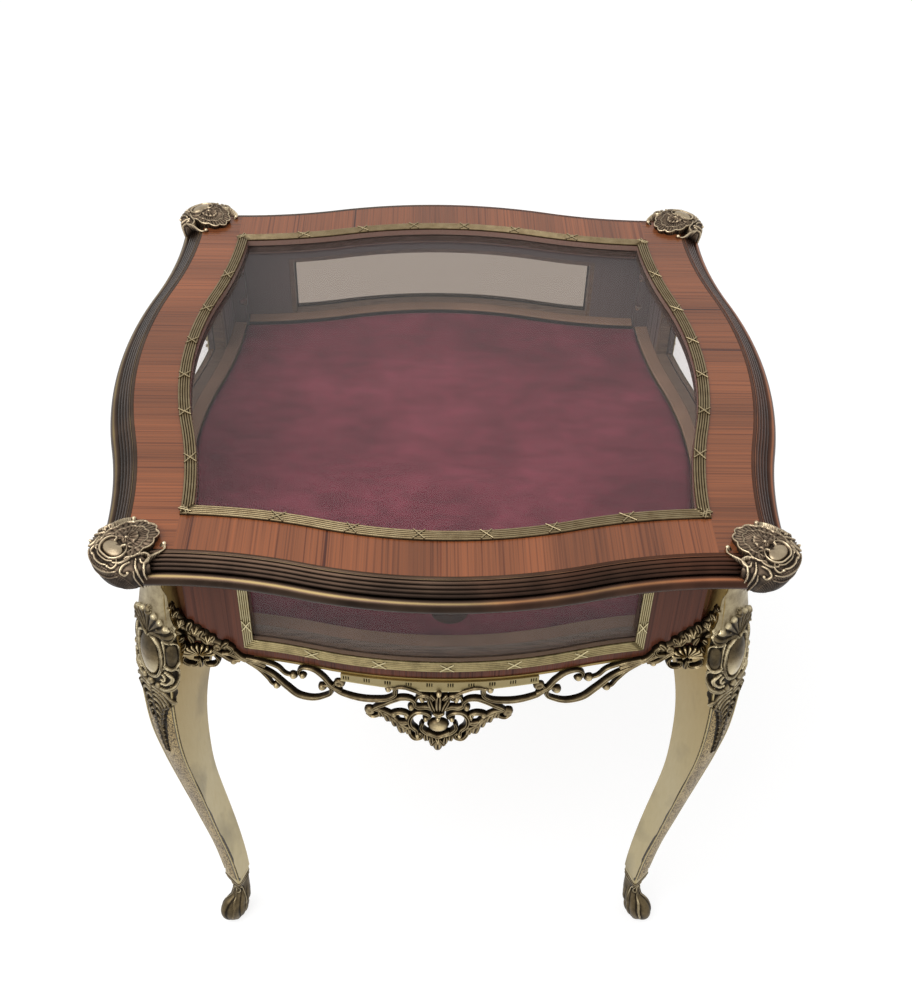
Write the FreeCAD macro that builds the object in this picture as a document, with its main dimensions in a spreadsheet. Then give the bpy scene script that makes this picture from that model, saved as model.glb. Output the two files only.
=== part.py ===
"""Display table: a glazed, serpentine-sided case on four cabriole legs, with a hinged glazed lid.

Millimetres, +Z up. The origin is on the floor under the middle of the table, and the front faces -Y.
Every plan outline is a parallel of one curve, the outer edge of the lid's veneer. `inset` is the
distance inwards from that curve, and a negative inset lies outside it.
"""

import FreeCAD, Part
import os
import Sketcher
from math import asin, degrees, pi, sin, sqrt
from FreeCAD import Placement, Rotation, Vector

SIZES = [
    # Plan of the whole table
    ("lid_corner_half", 321.5, "middle of the table to the lid's straight corner edge"),
    ("side_bow", 36, "how far the middle of each side bows out"),
    ("corner_flat", 37.5, "straight length at each end of a side"),
    # Lid
    ("lid_height", 760, "floor to the top of the veneer"),
    ("lid_thick", 25, "thickness of the lid's rails"),
    ("lid_gap", 0.3, "gap between the closed lid and the case"),
    ("veneer_width", 49, "veneer band outside the reeded frame"),
    ("lid_reed_width", 13.5, "reeded frame round the lid's glass"),
    ("lid_reed_rise", 3.5, "rise of the reeded frame"),
    ("glass_lip", 7, "wood left over the edge of the lid's glass"),
    ("lid_glass_thick", 4, "lid glass"),
    ("lid_bead_height", 7.7, "bead that holds the lid's glass"),
    ("fit_gap", 0.2, "gap where two curved pieces meet"),
    # Brass edge of the lid
    ("moulding_fillet", 5, "flat fillet at the top of the edge moulding"),
    ("moulding_slope", 19, "reach of its sloping reeds"),
    ("moulding_drop", 10.6, "fall of its sloping reeds"),
    ("torus_radius", 7.5, "half-round at its foot"),
    ("torus_reach", 21, "middle of the half-round outside the veneer"),
    ("torus_drop", 20, "middle of the half-round below the top"),
    ("moulding_foot", 26.5, "bottom of the moulding below the top"),
    ("moulding_reach", 300, "middle of a side to the end of its moulding"),
    ("mount_centre", 317, "corner mount from the middle planes"),
    ("mount_radius", 40, "corner mount in plan"),
    ("mount_rise", 11, "corner mount above the veneer"),
    ("mount_skirt", 38, "corner mount below the veneer"),
    ("mount_hollow", 437, "the skirt's inner face from the table's axis"),
    # Case
    ("case_depth", 142.7, "height of the case's walls"),
    ("case_setback", 9, "case's face inside the lid's edge"),
    ("wall_thick", 22, "case walls"),
    ("wall_reach", 272, "middle of a side to the end of its wall"),
    ("window_half", 205.5, "half width of a window"),
    ("window_head", 30.7, "wood above a window"),
    ("window_tall", 82, "height of a window"),
    ("rebate_lip", 5, "wood outside the window glass"),
    ("rebate_width", 6, "rebate round a window opening"),
    ("window_glass_thick", 3, "window glass"),
    ("window_reed_width", 11, "reeded strip beside a window"),
    ("window_reed_sill", 14.5, "reeded strip under a window"),
    ("window_reed_rise", 2.8, "rise of the window's reeded strips"),
    ("edge_line_height", 3.3, "brass line at the foot of the case"),
    ("edge_line_rise", 1.2, "rise of that line"),
    ("board_thick", 10, "base board"),
    ("pad_drop", 2.3, "top of the velvet pad below the sill"),
    ("lining_width", 6.5, "sill lining between wall and pad"),
    # Legs
    ("leg_top_gap", 3, "leg top below the lid"),
    ("leg_plate", 16.7, "leg's top plate outside the corner post"),
    ("leg_wall", 3.5, "wall of the hollow leg"),
    ("leg_shelf", 8, "leg's shelf under the case"),
    ("leg_core_foot", 32, "solid foot of the leg above the ankle"),
    ("leg_bulge", 4, "swell of the leg's outward face"),
    ("inner_facet", 5, "half width of the leg's inner facet"),
    ("ankle_height", 97, "floor to the joint of leg and sabot"),
    ("bolt_radius", 3, "leg bolt"),
    ("bolt_head_radius", 5.5, "head of a leg bolt"),
    ("bolt_head_thick", 6, "height of that head"),
    ("bolt_length", 30, "shank of a leg bolt"),
    ("bolt_sink", 16.8, "seat of a bolt's head inside the post's face"),
    ("bolt_low", 62, "lower leg bolt above the case's underside"),
    ("bolt_high", 108, "upper leg bolt above the case's underside"),
    ("toe_long", 22.5, "half length of the toe"),
    ("toe_wide", 16, "half width of the toe"),
    ("toe_tall", 24.5, "half height of the toe"),
    ("toe_centre", 21, "floor to the middle of the toe"),
    ("toe_shift", 14, "middle of the toe outside the ankle's"),
    # Aprons
    ("apron_inset", 5, "apron's outer face"),
    ("apron_thick", 4.5, "apron's thickness"),
    ("apron_end", 279, "middle of a side to the end of its apron"),
    ("apron_deep", 125, "room below the case for an apron's ornament"),
    ("apron_shift", 5, "cartouche and plate left of the middle"),
    ("plate_half", 108.5, "half width of the slotted plate"),
    ("plate_drop", 14, "height of the slotted plate"),
    ("cartouche_radius", 30.5, "cartouche"),
    ("cartouche_drop", 62.6, "middle of the cartouche under the case"),
    ("flange_width", 15, "apron's fixing flange under the wall"),
    ("flange_thick", 2, "that flange"),
    ("screw_radius", 1.5, "wood screws"),
    ("screw_head_radius", 3, "their heads"),
    ("screw_head_thick", 1.2, "height of their heads"),
    ("screw_length", 12, "their shanks"),
    ("apron_screw_spread", 80, "outer apron screws from the middle one"),
    ("apron_screw_back", 10.8, "row of apron screws behind the apron"),
    # Hinges
    ("hinge_axis", 354.5, "hinge axis behind the middle"),
    ("hinge_spread", 67, "each hinge from the middle"),
    ("hinge_length", 40, "length of a hinge"),
    ("knuckle_radius", 3.5, "hinge knuckle"),
    ("pin_radius", 1.5, "hinge pin"),
    ("leaf_depth", 23.5, "leaf from its axis to its inner edge"),
    ("leaf_thick", 2, "hinge leaf"),
    ("hinge_play", 0.3, "play between knuckles"),
    ("hinge_screw_spread", 13, "outer hinge screws from the middle one"),
    ("hinge_screw_back", 15.1, "row of hinge screws from the hinge's axis"),
    # Lock
    ("lock_x", 4, "lock right of the middle"),
    ("lock_width", 39, "lock case"),
    ("lock_thick", 12, "lock case"),
    ("lock_tall", 77.7, "height of the lock case"),
    ("lock_wall", 1.5, "sheet of the lock case"),
    ("bolt_width", 14, "lock bolt"),
    ("bolt_thick", 6, "lock bolt"),
    ("bolt_tall", 40, "height of the lock bolt"),
    ("bolt_throw", 6, "travel of the lock bolt"),
    ("bolt_play", 0.3, "play round the lock bolt"),
    ("keyhole_radius", 2.5, "keyhole"),
    ("keyhole_slot", 7.5, "length of its slot"),
    ("keyhole_drop", 16.9, "keyhole below the top of the wall"),
    ("keep_thick", 2, "keep plate"),
]

doc = FreeCAD.newDocument("display_table")
sheet = doc.addObject("Spreadsheet::Sheet", "Sizes")
for row, (alias, number, note) in enumerate(SIZES, start=1):
    sheet.set(f"A{row}", note)
    sheet.set(f"B{row}", str(number))
    sheet.setAlias(f"B{row}", alias)
doc.recompute()


class Length:
    """A length that knows both its number and the sheet expression that gives it."""

    def __init__(self, number, text):
        self.number = number
        self.text = text

    def __float__(self):
        return float(self.number)

    def __add__(self, other):
        other = length(other)
        return Length(self.number + other.number, f"({self.text} + {other.text})")

    def __sub__(self, other):
        other = length(other)
        return Length(self.number - other.number, f"({self.text} - {other.text})")

    def __mul__(self, factor):
        return Length(self.number * factor, f"({self.text} * {factor})")

    def __truediv__(self, factor):
        return Length(self.number / factor, f"({self.text} / {factor})")

    def __neg__(self):
        return Length(-self.number, f"(-1 * {self.text})")

    def __radd__(self, other):
        return length(other) + self

    def __rsub__(self, other):
        return length(other) - self


def length(value):
    return value if isinstance(value, Length) else Length(value, f"({value})")


class Cells:
    """The sheet's sizes by name."""

    def __getattr__(self, alias):
        return Length(float(sheet.get(alias)), f"Sizes.{alias}")


s = Cells()

# Heights and places that follow from the sizes
lid_bottom = s.lid_height - s.lid_thick
case_top = lid_bottom - s.lid_gap
glass_top = s.lid_height - s.glass_lip
sight_inset = s.veneer_width + s.lid_reed_width
inside_rails = sight_inset * 1.2
case_bottom = case_top - s.case_depth
window_top = case_top - s.window_head
window_bottom = window_top - s.window_tall
wall_inner = s.case_setback + s.wall_thick
inside_walls = wall_inner * 1.5
board_top = case_bottom + s.board_thick
pad_top = window_bottom - s.pad_drop
face_half = s.lid_corner_half - s.case_setback
post_face = (face_half + s.wall_reach) / sqrt(2)
post_side = face_half - s.wall_reach
leg_top = lid_bottom - s.leg_top_gap
hinge_z = lid_bottom - s.lid_gap / 2
UP = Vector(0, 0, 1)
SIDES = {"front": 0, "right": 90, "back": 180, "left": 270}
CORNERS = {"front_right": 0, "back_right": 90, "back_left": 180, "front_left": 270}


# ---------------------------------------------------------------- plan curve


def side_arcs():
    """Radius of the arcs of one side, the x where a side turns straight, and the arcs' half angle."""
    straight_from = float(s.lid_corner_half - s.corner_flat)
    bow = float(s.side_bow)
    radius = (straight_from**2 + bow**2) / (4 * bow)
    return radius, straight_from, asin(straight_from / (2 * radius))


def edge_y(x, inset):
    """y of the front side's parallel curve at x: a convex middle, two concave flanks, straight ends."""
    radius, straight_from, half_angle = side_arcs()
    half = float(s.lid_corner_half)
    x = abs(x)
    if x <= (radius - inset) * sin(half_angle):
        return radius - half - float(s.side_bow) - sqrt((radius - inset) ** 2 - x * x)
    if x <= straight_from:
        return sqrt((radius + inset) ** 2 - (straight_from - x) ** 2) - half - radius
    return inset - half


def mitre_reach(inset):
    """Half length of a side's parallel curve where it meets its neighbour's."""
    reach = float(s.lid_corner_half) - inset
    for _ in range(12):
        reach = -edge_y(reach, inset)
    return reach


def side_edges(inset, reach):
    """The front side's parallel curve from x = -reach to x = reach, as arcs and lines."""
    radius, straight_from, half_angle = side_arcs()
    turn = (radius - inset) * sin(half_angle)
    changes = [x for x in (-straight_from, -turn, turn, straight_from) if abs(x) < reach]
    stops = sorted({-reach, reach, *changes})
    edges = []
    for start, end in zip(stops, stops[1:]):
        ends = [Vector(x, edge_y(x, inset), 0) for x in (start, (start + end) / 2, end)]
        straight = min(abs(start), abs(end)) >= straight_from
        curve = Part.LineSegment(ends[0], ends[2]) if straight else Part.Arc(*ends)
        edges.append(curve.toShape())
    return edges


def ends_of(edges):
    return edges[0].firstVertex().Point, edges[-1].lastVertex().Point


def face_between(outer, inner):
    outer_start, outer_end = ends_of(outer)
    inner_start, inner_end = ends_of(inner)
    links = [
        Part.LineSegment(outer_end, inner_end).toShape(),
        Part.LineSegment(inner_start, outer_start).toShape(),
    ]
    return Part.Face(Part.Wire(Part.__sortEdges__(outer + inner + links)))


# ---------------------------------------------------------------- features


def bind(thing, lengths):
    for name, value in lengths.items():
        if isinstance(value, Length):
            thing.setExpression(name, value.text)
        else:
            path = name.split(".")
            if len(path) == 1:
                setattr(thing, name, value)
            elif value:
                thing.setExpression(name, str(value))
    return thing


def at(thing, x=0, y=0, z=0):
    return bind(thing, {"Placement.Base.x": x, "Placement.Base.y": y, "Placement.Base.z": z})


def box(x, y, z):
    """A box from three pairs of limits."""
    thing = doc.addObject("Part::Box", "Box")
    bind(thing, {"Length": x[1] - x[0], "Width": y[1] - y[0], "Height": z[1] - z[0]})
    return at(thing, x[0], y[0], z[0])


def cylinder(radius, height, x=0, y=0, z=0, axis=UP):
    thing = doc.addObject("Part::Cylinder", "Cylinder")
    bind(thing, {"Radius": radius, "Height": height})
    thing.Placement = Placement(Vector(), Rotation(UP, axis))
    return at(thing, x, y, z)


def cut(base, *tools):
    for tool in tools:
        thing = doc.addObject("Part::Cut", "Cut")
        thing.Base = base
        thing.Tool = tool
        base = thing
    return base


def fuse(*pieces):
    thing = doc.addObject("Part::MultiFuse", "Fuse")
    thing.Shapes = list(pieces)
    return thing


def common(one, other):
    thing = doc.addObject("Part::MultiCommon", "Common")
    thing.Shapes = [one, other]
    return thing


def group(*pieces):
    thing = doc.addObject("Part::Compound", "Group")
    thing.Links = list(pieces)
    return thing


def outline(face):
    thing = doc.addObject("Part::Feature", "Outline")
    thing.Shape = face
    return thing


def extrude(face, bottom, top, way=UP):
    thing = doc.addObject("Part::Extrusion", "Extrusion")
    thing.Base = outline(face)
    thing.DirMode = "Custom"
    thing.Dir = way
    thing.Solid = True
    bind(thing, {"LengthFwd": top - bottom})
    names = {"x": "Placement.Base.x", "y": "Placement.Base.y", "z": "Placement.Base.z"}
    axis = "x" if abs(way.x) > 0.5 else "y" if abs(way.y) > 0.5 else "z"
    return bind(thing, {names[axis]: bottom})


def band(outer, inner, bottom, top, reach=None):
    """A curved strip of the front side between two insets, with square or mitred ends."""
    outer_number = float(outer)
    inner_number = float(inner)
    outer_reach = mitre_reach(outer_number) if reach is None else float(reach)
    inner_reach = mitre_reach(inner_number) if reach is None else float(reach)
    face = face_between(side_edges(outer_number, outer_reach), side_edges(inner_number, inner_reach))
    return extrude(face, bottom, top)


def plate(inset, bottom, top):
    """A slab over the whole plan inside one inset."""
    inset = float(inset)
    side = Part.Wire(side_edges(inset, mitre_reach(inset)))
    edges = []
    for turn in SIDES.values():
        turned = side.copy()
        turned.rotate(Vector(), UP, turn)
        edges += turned.Edges
    return extrude(Part.Face(Part.Wire(Part.__sortEdges__(edges))), bottom, top)


def turned(thing, turn, label=None):
    """The same piece turned about the table's axis, as an object of its own."""
    copy = group(thing)
    copy.Placement = Placement(Vector(), Rotation(UP, turn))
    if label:
        copy.Label = label
    return copy


def all_round(thing):
    """The same piece on all four sides, as one group."""
    return group(*(turned(thing, turn) for turn in SIDES.values()))


parts = []


def keep(thing, label):
    thing.Label = label
    parts.append(thing)
    return thing


def keep_sides(thing, stem):
    for name, turn in SIDES.items():
        keep(turned(thing, turn), f"{stem}_{name}")


def keep_corners(thing, stem, first=0):
    """Pieces modelled with the corner's outward diagonal along +X get first = -45."""
    for name, turn in CORNERS.items():
        keep(turned(thing, turn + first), f"{stem}_{name}")


# ---------------------------------------------------------------- lid


def rail_blank(end):
    """A lid rail with the rebate for the glass under its lip."""
    whole = band(0, sight_inset + s.fit_gap, lid_bottom, s.lid_height, end)
    rebate_outer = sight_inset - s.glass_lip
    rebate = band(rebate_outer, inside_rails, lid_bottom, glass_top, s.lid_corner_half)
    return cut(whole, rebate)


def hinge_xs():
    return (-s.hinge_spread, s.hinge_spread)


def hinge_reliefs(radius):
    ends = s.hinge_length + s.hinge_play * 4
    return [
        cylinder(radius, ends, x - ends / 2, s.hinge_axis, hinge_z, Vector(1, 0, 0))
        for x in hinge_xs()
    ]


def leaf_pockets(bottom, top):
    half = s.hinge_length / 2 + s.fit_gap
    inner = s.hinge_axis - s.leaf_depth - s.fit_gap
    return [box((x - half, x + half), (inner, s.hinge_axis), (bottom, top)) for x in hinge_xs()]


def hinge_screw_places(x):
    steps = (-s.hinge_screw_spread, 0, s.hinge_screw_spread)
    return [(x + step, s.hinge_axis - s.hinge_screw_back) for step in steps]


def screw(x, y, head_z, up):
    """A round-headed screw whose head's flat outer face is at head_z."""
    if up:
        head = cylinder(s.screw_head_radius, s.screw_head_thick, x, y, head_z)
        shank = cylinder(s.screw_radius, s.screw_length, x, y, head_z + s.screw_head_thick)
    else:
        head = cylinder(s.screw_head_radius, s.screw_head_thick, x, y, head_z - s.screw_head_thick)
        shank = cylinder(
            s.screw_radius, s.screw_length, x, y, head_z - s.screw_head_thick - s.screw_length
        )
    return fuse(head, shank)


def screw_hole(x, y, head_z, up):
    """Room for such a screw, a fit's gap larger all round."""
    wide = s.screw_head_radius + s.fit_gap / 2
    slim = s.screw_radius + s.fit_gap / 2
    deep = s.screw_head_thick + s.screw_length + s.fit_gap
    if up:
        return fuse(cylinder(wide, s.screw_head_thick, x, y, head_z), cylinder(slim, deep, x, y, head_z))
    head = cylinder(wide, s.screw_head_thick, x, y, head_z - s.screw_head_thick)
    return fuse(head, cylinder(slim, deep, x, y, head_z - deep))


def lock_y():
    """Middle of the lock case, whose outer corner just clears the wall's curved inner face."""
    corner = float(s.lock_x + s.lock_width / 2)
    return edge_y(corner, float(wall_inner)) + s.fit_gap + s.lock_thick / 2


def bolt_room(play, bottom, top):
    half_x = s.bolt_width / 2 + play
    half_y = s.bolt_thick / 2 + play
    across = (s.lock_x - half_x, s.lock_x + half_x)
    return box(across, (lock_y() - half_y, lock_y() + half_y), (bottom, top))


def keep_block(gap):
    """Outline of the lock's keep: a plate let into the front rail's underside."""
    half_x = s.lock_width / 2 + gap
    half_y = s.lock_thick / 2 + gap
    return box(
        (s.lock_x - half_x, s.lock_x + half_x),
        (lock_y() - half_y, lock_y() + half_y),
        (lid_bottom, lid_bottom + s.keep_thick + gap),
    )


def lid_wood():
    side_end = s.lid_corner_half - s.veneer_width
    front = rail_blank(side_end)
    catch_room = bolt_room(s.bolt_play + s.fit_gap, lid_bottom, lid_bottom + s.bolt_throw + s.keep_thick)
    keep(cut(front, keep_block(s.fit_gap), catch_room), "lid_rail_front")

    back = turned(rail_blank(side_end), 180)
    pockets = leaf_pockets(lid_bottom, lid_bottom + s.leaf_thick)
    holes = [screw_hole(x, y, lid_bottom, True) for at_x in hinge_xs() for x, y in hinge_screw_places(at_x)]
    keep(cut(back, *pockets, *hinge_reliefs(s.knuckle_radius + s.hinge_play), *holes), "lid_rail_back")

    # The side rails run the full depth, and the front and back rails fit between them.
    side = rail_blank(s.lid_corner_half)
    inner_end = s.lid_corner_half - sight_inset - s.fit_gap
    shoulders = [
        box(limits, (-side_end, -inner_end + s.side_bow), (lid_bottom, s.lid_height))
        for limits in ((inner_end, s.lid_corner_half), (-s.lid_corner_half, -inner_end))
    ]
    side = cut(side, *shoulders)
    keep(turned(side, SIDES["right"]), "lid_rail_right")
    keep(turned(side, SIDES["left"]), "lid_rail_left")


def lid_trim():
    glass_inset = sight_inset - s.glass_lip + s.fit_gap
    glass_bottom = glass_top - s.fit_gap - s.lid_glass_thick
    keep(plate(glass_inset, glass_bottom, glass_top - s.fit_gap), "lid_glass")
    bead = band(glass_inset, sight_inset + s.fit_gap, glass_bottom - s.lid_bead_height, glass_bottom)
    keep(all_round(bead), "lid_glass_beads")
    reed = band(s.veneer_width, sight_inset, s.lid_height, s.lid_height + s.lid_reed_rise)
    keep(all_round(reed), "lid_reed_frame")


def moulding_profile():
    """Section of the lid's brass edge: d outwards along -Y from the veneer, z up."""
    top = float(s.lid_height)
    gap = float(s.fit_gap)
    torus_z = top - float(s.torus_drop)
    reach = float(s.torus_reach)
    ball = float(s.torus_radius)
    foot = top - float(s.moulding_foot)
    slope_end = (float(s.moulding_slope), top - float(s.moulding_drop))
    groove = (reach, torus_z + ball)
    under = (reach, torus_z - ball)
    corners = [(gap, foot), (gap, top), (float(s.moulding_fillet), top), slope_end, groove]
    points = [Vector(0, -d, z) for d, z in corners]
    edges = [Part.LineSegment(a, b).toShape() for a, b in zip(points, points[1:])]
    nose = Vector(0, -reach - ball, torus_z)
    edges.append(Part.Arc(points[-1], nose, Vector(0, -under[0], under[1])).toShape())
    edges.append(Part.LineSegment(Vector(0, -under[0], under[1]), points[0]).toShape())
    return Part.Face(Part.Wire(edges))


def revolved(face, x, y, angle):
    """The moulding's section turned about an upright axis at (x, y)."""
    thing = doc.addObject("Part::Revolution", "Turned")
    thing.Source = outline(face)
    thing.Axis = UP
    thing.Base = Vector(x, y, 0)
    thing.Angle = angle
    thing.Solid = True
    return thing


def edge_moulding():
    """One side's moulding: its section turned through the side's three arcs, straight at its ends."""
    radius, straight_from, half_angle = side_arcs()
    half = float(s.lid_corner_half)
    bow = float(s.side_bow)
    section = moulding_profile()
    sweep = degrees(half_angle)
    middle = section.copy()
    middle.translate(Vector(0, -half - bow, 0))
    middle_centre = Vector(0, radius - half - bow, 0)
    middle.rotate(middle_centre, UP, -sweep)
    pieces = [revolved(middle, middle_centre.x, middle_centre.y, 2 * sweep)]
    for sign in (-1, 1):
        end = section.copy()
        end.translate(Vector(sign * straight_from, -half, 0))
        pieces.append(revolved(end, sign * straight_from, -half - radius, sign * sweep))
        straight = extrude(end, 0, s.moulding_reach - (s.lid_corner_half - s.corner_flat), Vector(sign, 0, 0))
        pieces.append(straight)
    whole = fuse(*pieces)
    whole.Refine = True
    return whole


# Section of a corner mount, as shares of its radius and of its rise (up) or skirt (down), from the
# rise's shoulder through the rim and the belly to the foot.
MOUNT_SHOULDER = (0.62, 0.78)
MOUNT_RIM = (1.0, 0.2)
MOUNT_BELLY = (0.985, -0.3)
MOUNT_WAIST = (0.9, -0.7)
MOUNT_FOOT = (0.66, -1.0)


def mount_point(shares):
    out, up = shares
    height = s.mount_rise if up > 0 else s.mount_skirt
    return Vector(out * float(s.mount_radius), 0, float(s.lid_height + height * up))


def corner_mount(front, side):
    """Front-left corner mount: a turned boss over the corner, cut to the rails and the moulding ends."""
    peak = Vector(0, 0, float(s.lid_height + s.mount_rise))
    shoulder, rim, belly, waist, foot = (
        mount_point(shares)
        for shares in (MOUNT_SHOULDER, MOUNT_RIM, MOUNT_BELLY, MOUNT_WAIST, MOUNT_FOOT)
    )
    middle = Vector(0, 0, foot.z)
    edges = [
        Part.Arc(peak, shoulder, rim).toShape(),
        Part.Arc(rim, belly, waist).toShape(),
        Part.LineSegment(waist, foot).toShape(),
        Part.LineSegment(foot, middle).toShape(),
        Part.LineSegment(middle, peak).toShape(),
    ]
    boss = revolved(Part.Face(Part.Wire(edges)), 0, 0, 360)
    at(boss, -s.mount_centre, -s.mount_centre)
    wood = box((-s.lid_corner_half, 0), (-s.lid_corner_half, 0), (case_bottom, s.lid_height))
    hollow = cylinder(s.mount_hollow, s.mount_skirt, 0, 0, s.lid_height - s.moulding_foot - s.mount_skirt)
    return cut(boss, wood, hollow, front, side)


def lid_brass():
    moulding = edge_moulding()
    plain = {name: turned(moulding, turn) for name, turn in SIDES.items()}
    mount = corner_mount(plain["front"], plain["left"])
    keep_corners(mount, "corner_mount", 90)
    plain["back"] = cut(plain["back"], *hinge_reliefs(s.knuckle_radius + s.hinge_play * 2))
    for name in SIDES:
        keep(plain[name], f"edge_moulding_{name}")


# ---------------------------------------------------------------- case


def opening(outer, inner, grow):
    """Room through a wall for a window, grown all round."""
    bottom = window_bottom - grow
    return band(outer, inner, bottom, window_top + grow, s.window_half + grow)


def apron_screw_xs():
    return (-s.apron_screw_spread, 0, s.apron_screw_spread)


def apron_screw_y():
    return s.apron_inset + s.apron_thick + s.apron_screw_back - (s.lid_corner_half + s.side_bow)


def wall_blank():
    whole = band(s.case_setback, wall_inner, case_bottom, case_top, s.wall_reach)
    through = opening(0, inside_walls, 0)
    rebate = opening(s.case_setback + s.rebate_lip, inside_walls, s.rebate_width)
    slim = s.screw_radius + s.fit_gap / 2
    holes = [
        cylinder(slim, s.screw_length, x, apron_screw_y(), case_bottom)
        for x in apron_screw_xs()
    ]
    return cut(whole, through, rebate, *holes)


def keyhole_z():
    return case_top - s.keyhole_drop


def case_walls():
    blank = wall_blank()
    front_y = -(s.lid_corner_half + s.side_bow)
    hole = cylinder(s.keyhole_radius, s.wall_thick * 2, s.lock_x, front_y, keyhole_z(), Vector(0, 1, 0))
    half_slot = s.keyhole_radius / 2
    slot = box(
        (s.lock_x - half_slot, s.lock_x + half_slot),
        (front_y, front_y + s.wall_thick * 2),
        (keyhole_z() - s.keyhole_slot, keyhole_z()),
    )
    keep(cut(blank, hole, slot), "case_wall_front")
    pockets = leaf_pockets(case_top - s.leaf_thick, case_top)
    holes = [screw_hole(x, y, case_top, False) for at_x in hinge_xs() for x, y in hinge_screw_places(at_x)]
    reliefs = hinge_reliefs(s.knuckle_radius + s.hinge_play)
    keep(cut(turned(blank, SIDES["back"]), *pockets, *reliefs, *holes), "case_wall_back")
    keep(turned(blank, SIDES["left"]), "case_wall_left")
    keep(turned(blank, SIDES["right"]), "case_wall_right")


def windows():
    glass_out = s.case_setback + s.rebate_lip + s.fit_gap
    glass_in = glass_out + s.window_glass_thick
    short = s.rebate_width - s.fit_gap
    keep_sides(opening(glass_out, glass_in, short), "window_glass")
    bead = cut(opening(glass_in + s.fit_gap, wall_inner, short), opening(glass_out, inside_walls, 0))
    keep(all_round(bead), "window_beads")
    reed_in = s.case_setback - s.fit_gap
    reed = band(
        reed_in - s.window_reed_rise,
        reed_in,
        window_bottom - s.window_reed_sill,
        window_top + s.window_reed_width,
        s.window_half + s.window_reed_width,
    )
    keep_sides(cut(reed, opening(0, wall_inner, 0)), "window_reed")


def post_notches(gap):
    """Square room round each corner post."""
    near = s.wall_reach - gap
    far = s.lid_corner_half
    return [
        turned(box((near, far), (near, far), (case_bottom - 1, case_top)), turn)
        for turn in SIDES.values()
    ]


def base_and_lining():
    board = plate(wall_inner + s.fit_gap, case_bottom, board_top)
    keep(cut(board, *post_notches(s.fit_gap)), "base_board")
    pad_inset = wall_inner + s.fit_gap + s.lining_width + s.fit_gap
    pad = plate(pad_inset, board_top, pad_top)
    keep(cut(pad, *post_notches(s.fit_gap)), "velvet_pad")
    lining = band(wall_inner + s.fit_gap, pad_inset - s.fit_gap, board_top, window_bottom, s.wall_reach)
    keep(all_round(cut(lining, *corner_ends(pad_inset))), "sill_lining")


def corner_ends(inset):
    """What lies past the crossing of two linings, so that neighbours butt there."""
    end = s.wall_reach - s.lining_width * 2
    far = s.lid_corner_half
    depth = (-(s.lid_corner_half + s.side_bow), -(s.lid_corner_half - inset) + s.side_bow)
    return [box(limits, depth, (case_bottom, case_top)) for limits in ((end, far), (-far, -end))]


def edge_lines():
    line_in = s.case_setback - s.fit_gap
    line = band(
        line_in - s.edge_line_rise,
        line_in,
        case_bottom,
        case_bottom + s.edge_line_height,
        s.wall_reach,
    )
    keep(all_round(line), "case_edge_lines")


def bolt_heights():
    return (case_bottom + s.bolt_low, case_bottom + s.bolt_high)


def bolt_seat():
    """Where the head of a leg bolt sits in its post, from the table's axis."""
    return post_face - s.bolt_sink


def corner_posts():
    """Posts with a canted outer face, modelled with the outward diagonal along +X."""
    front = float(post_face)
    half = float(post_side) / sqrt(2)
    tip = Vector(front - half, 0, 0)
    corners = [Vector(front, -half, 0), Vector(front, half, 0), tip, Vector(front, -half, 0)]
    post = extrude(Part.Face(Part.makePolygon(corners)), case_bottom, case_top)
    out = Vector(1, 0, 0)
    for z in bolt_heights():
        sink_end = bolt_seat() - s.wall_thick * 2
        sink = cylinder(s.bolt_head_radius + s.fit_gap, s.wall_thick * 2, sink_end, 0, z, out)
        hole = cylinder(s.bolt_radius + s.fit_gap / 2, s.bolt_length, bolt_seat(), 0, z, out)
        post = cut(post, sink, hole)
    ring = group(*(turned(post, turn - 45) for turn in CORNERS.values()))
    keep(ring, "corner_posts")

    bolts = []
    for z in bolt_heights():
        head = cylinder(s.bolt_head_radius, s.bolt_head_thick, bolt_seat() - s.bolt_head_thick, 0, z, out)
        shank = cylinder(s.bolt_radius, s.bolt_length - s.fit_gap, bolt_seat(), 0, z, out)
        bolts.append(fuse(head, shank))
    pair = group(*bolts)
    keep(group(*(turned(pair, turn - 45) for turn in CORNERS.values())), "leg_bolts")


# ---------------------------------------------------------------- legs

# Share of the height from ankle to leg top, reach outside the post's face, half width of the outward
# face, and depth to the inner facet.
LEG_STATIONS = [
    (0.0, -17.5, 15.5, 25),
    (0.1, -10.3, 17.5, 28.5),
    (0.225, 2.8, 20.5, 33.3),
    (0.35, 16.1, 26, 36.5),
    (0.46, 27.5, 29.5, 43.4),
    (0.555, 35.2, 30.2, 53.2),
    (0.635, 36.5, 30, 62),
    (0.715, 34.7, 30.5, 76),
    (0.79, 29.7, 30, 86),
    (0.87, 24.2, 25, 91),
    (0.935, 17.7, 20, 93),
    (1.0, 16.7, 19.5, 95),
]
# The same for the knee mount: reach and half width over the leg's face.
KNEE_STATIONS = [
    (0.49, 8, 10),
    (0.55, 10, 24),
    (0.63, 11, 33),
    (0.73, 12, 36),
    (0.8, 12, 36),
    (0.87, 10, 30),
    (0.93, 8, 22),
    (0.965, 6, 12),
]


def leg_reach(reach):
    """A station's reach from the table's axis; the topmost follows the top plate's thickness."""
    return float(post_face) + reach + float(s.leg_plate) - LEG_STATIONS[-1][1]


def between(stations, share, column):
    """A station value at any share of the height, by straight lines."""
    for low, high in zip(stations, stations[1:]):
        if share <= high[0]:
            along = (share - low[0]) / (high[0] - low[0])
            return low[column] + (high[column] - low[column]) * along
    return stations[-1][column]


def leg_z(share):
    return float(s.ankle_height) + share * float(leg_top - s.ankle_height)


# How far the hollow leg's core stays inside the leg's outline, in walls, and its inner facet's share.
CORE_AT_SIDE = 1.2
CORE_AT_FACET = 2.2
CORE_FACET = 0.5


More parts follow.
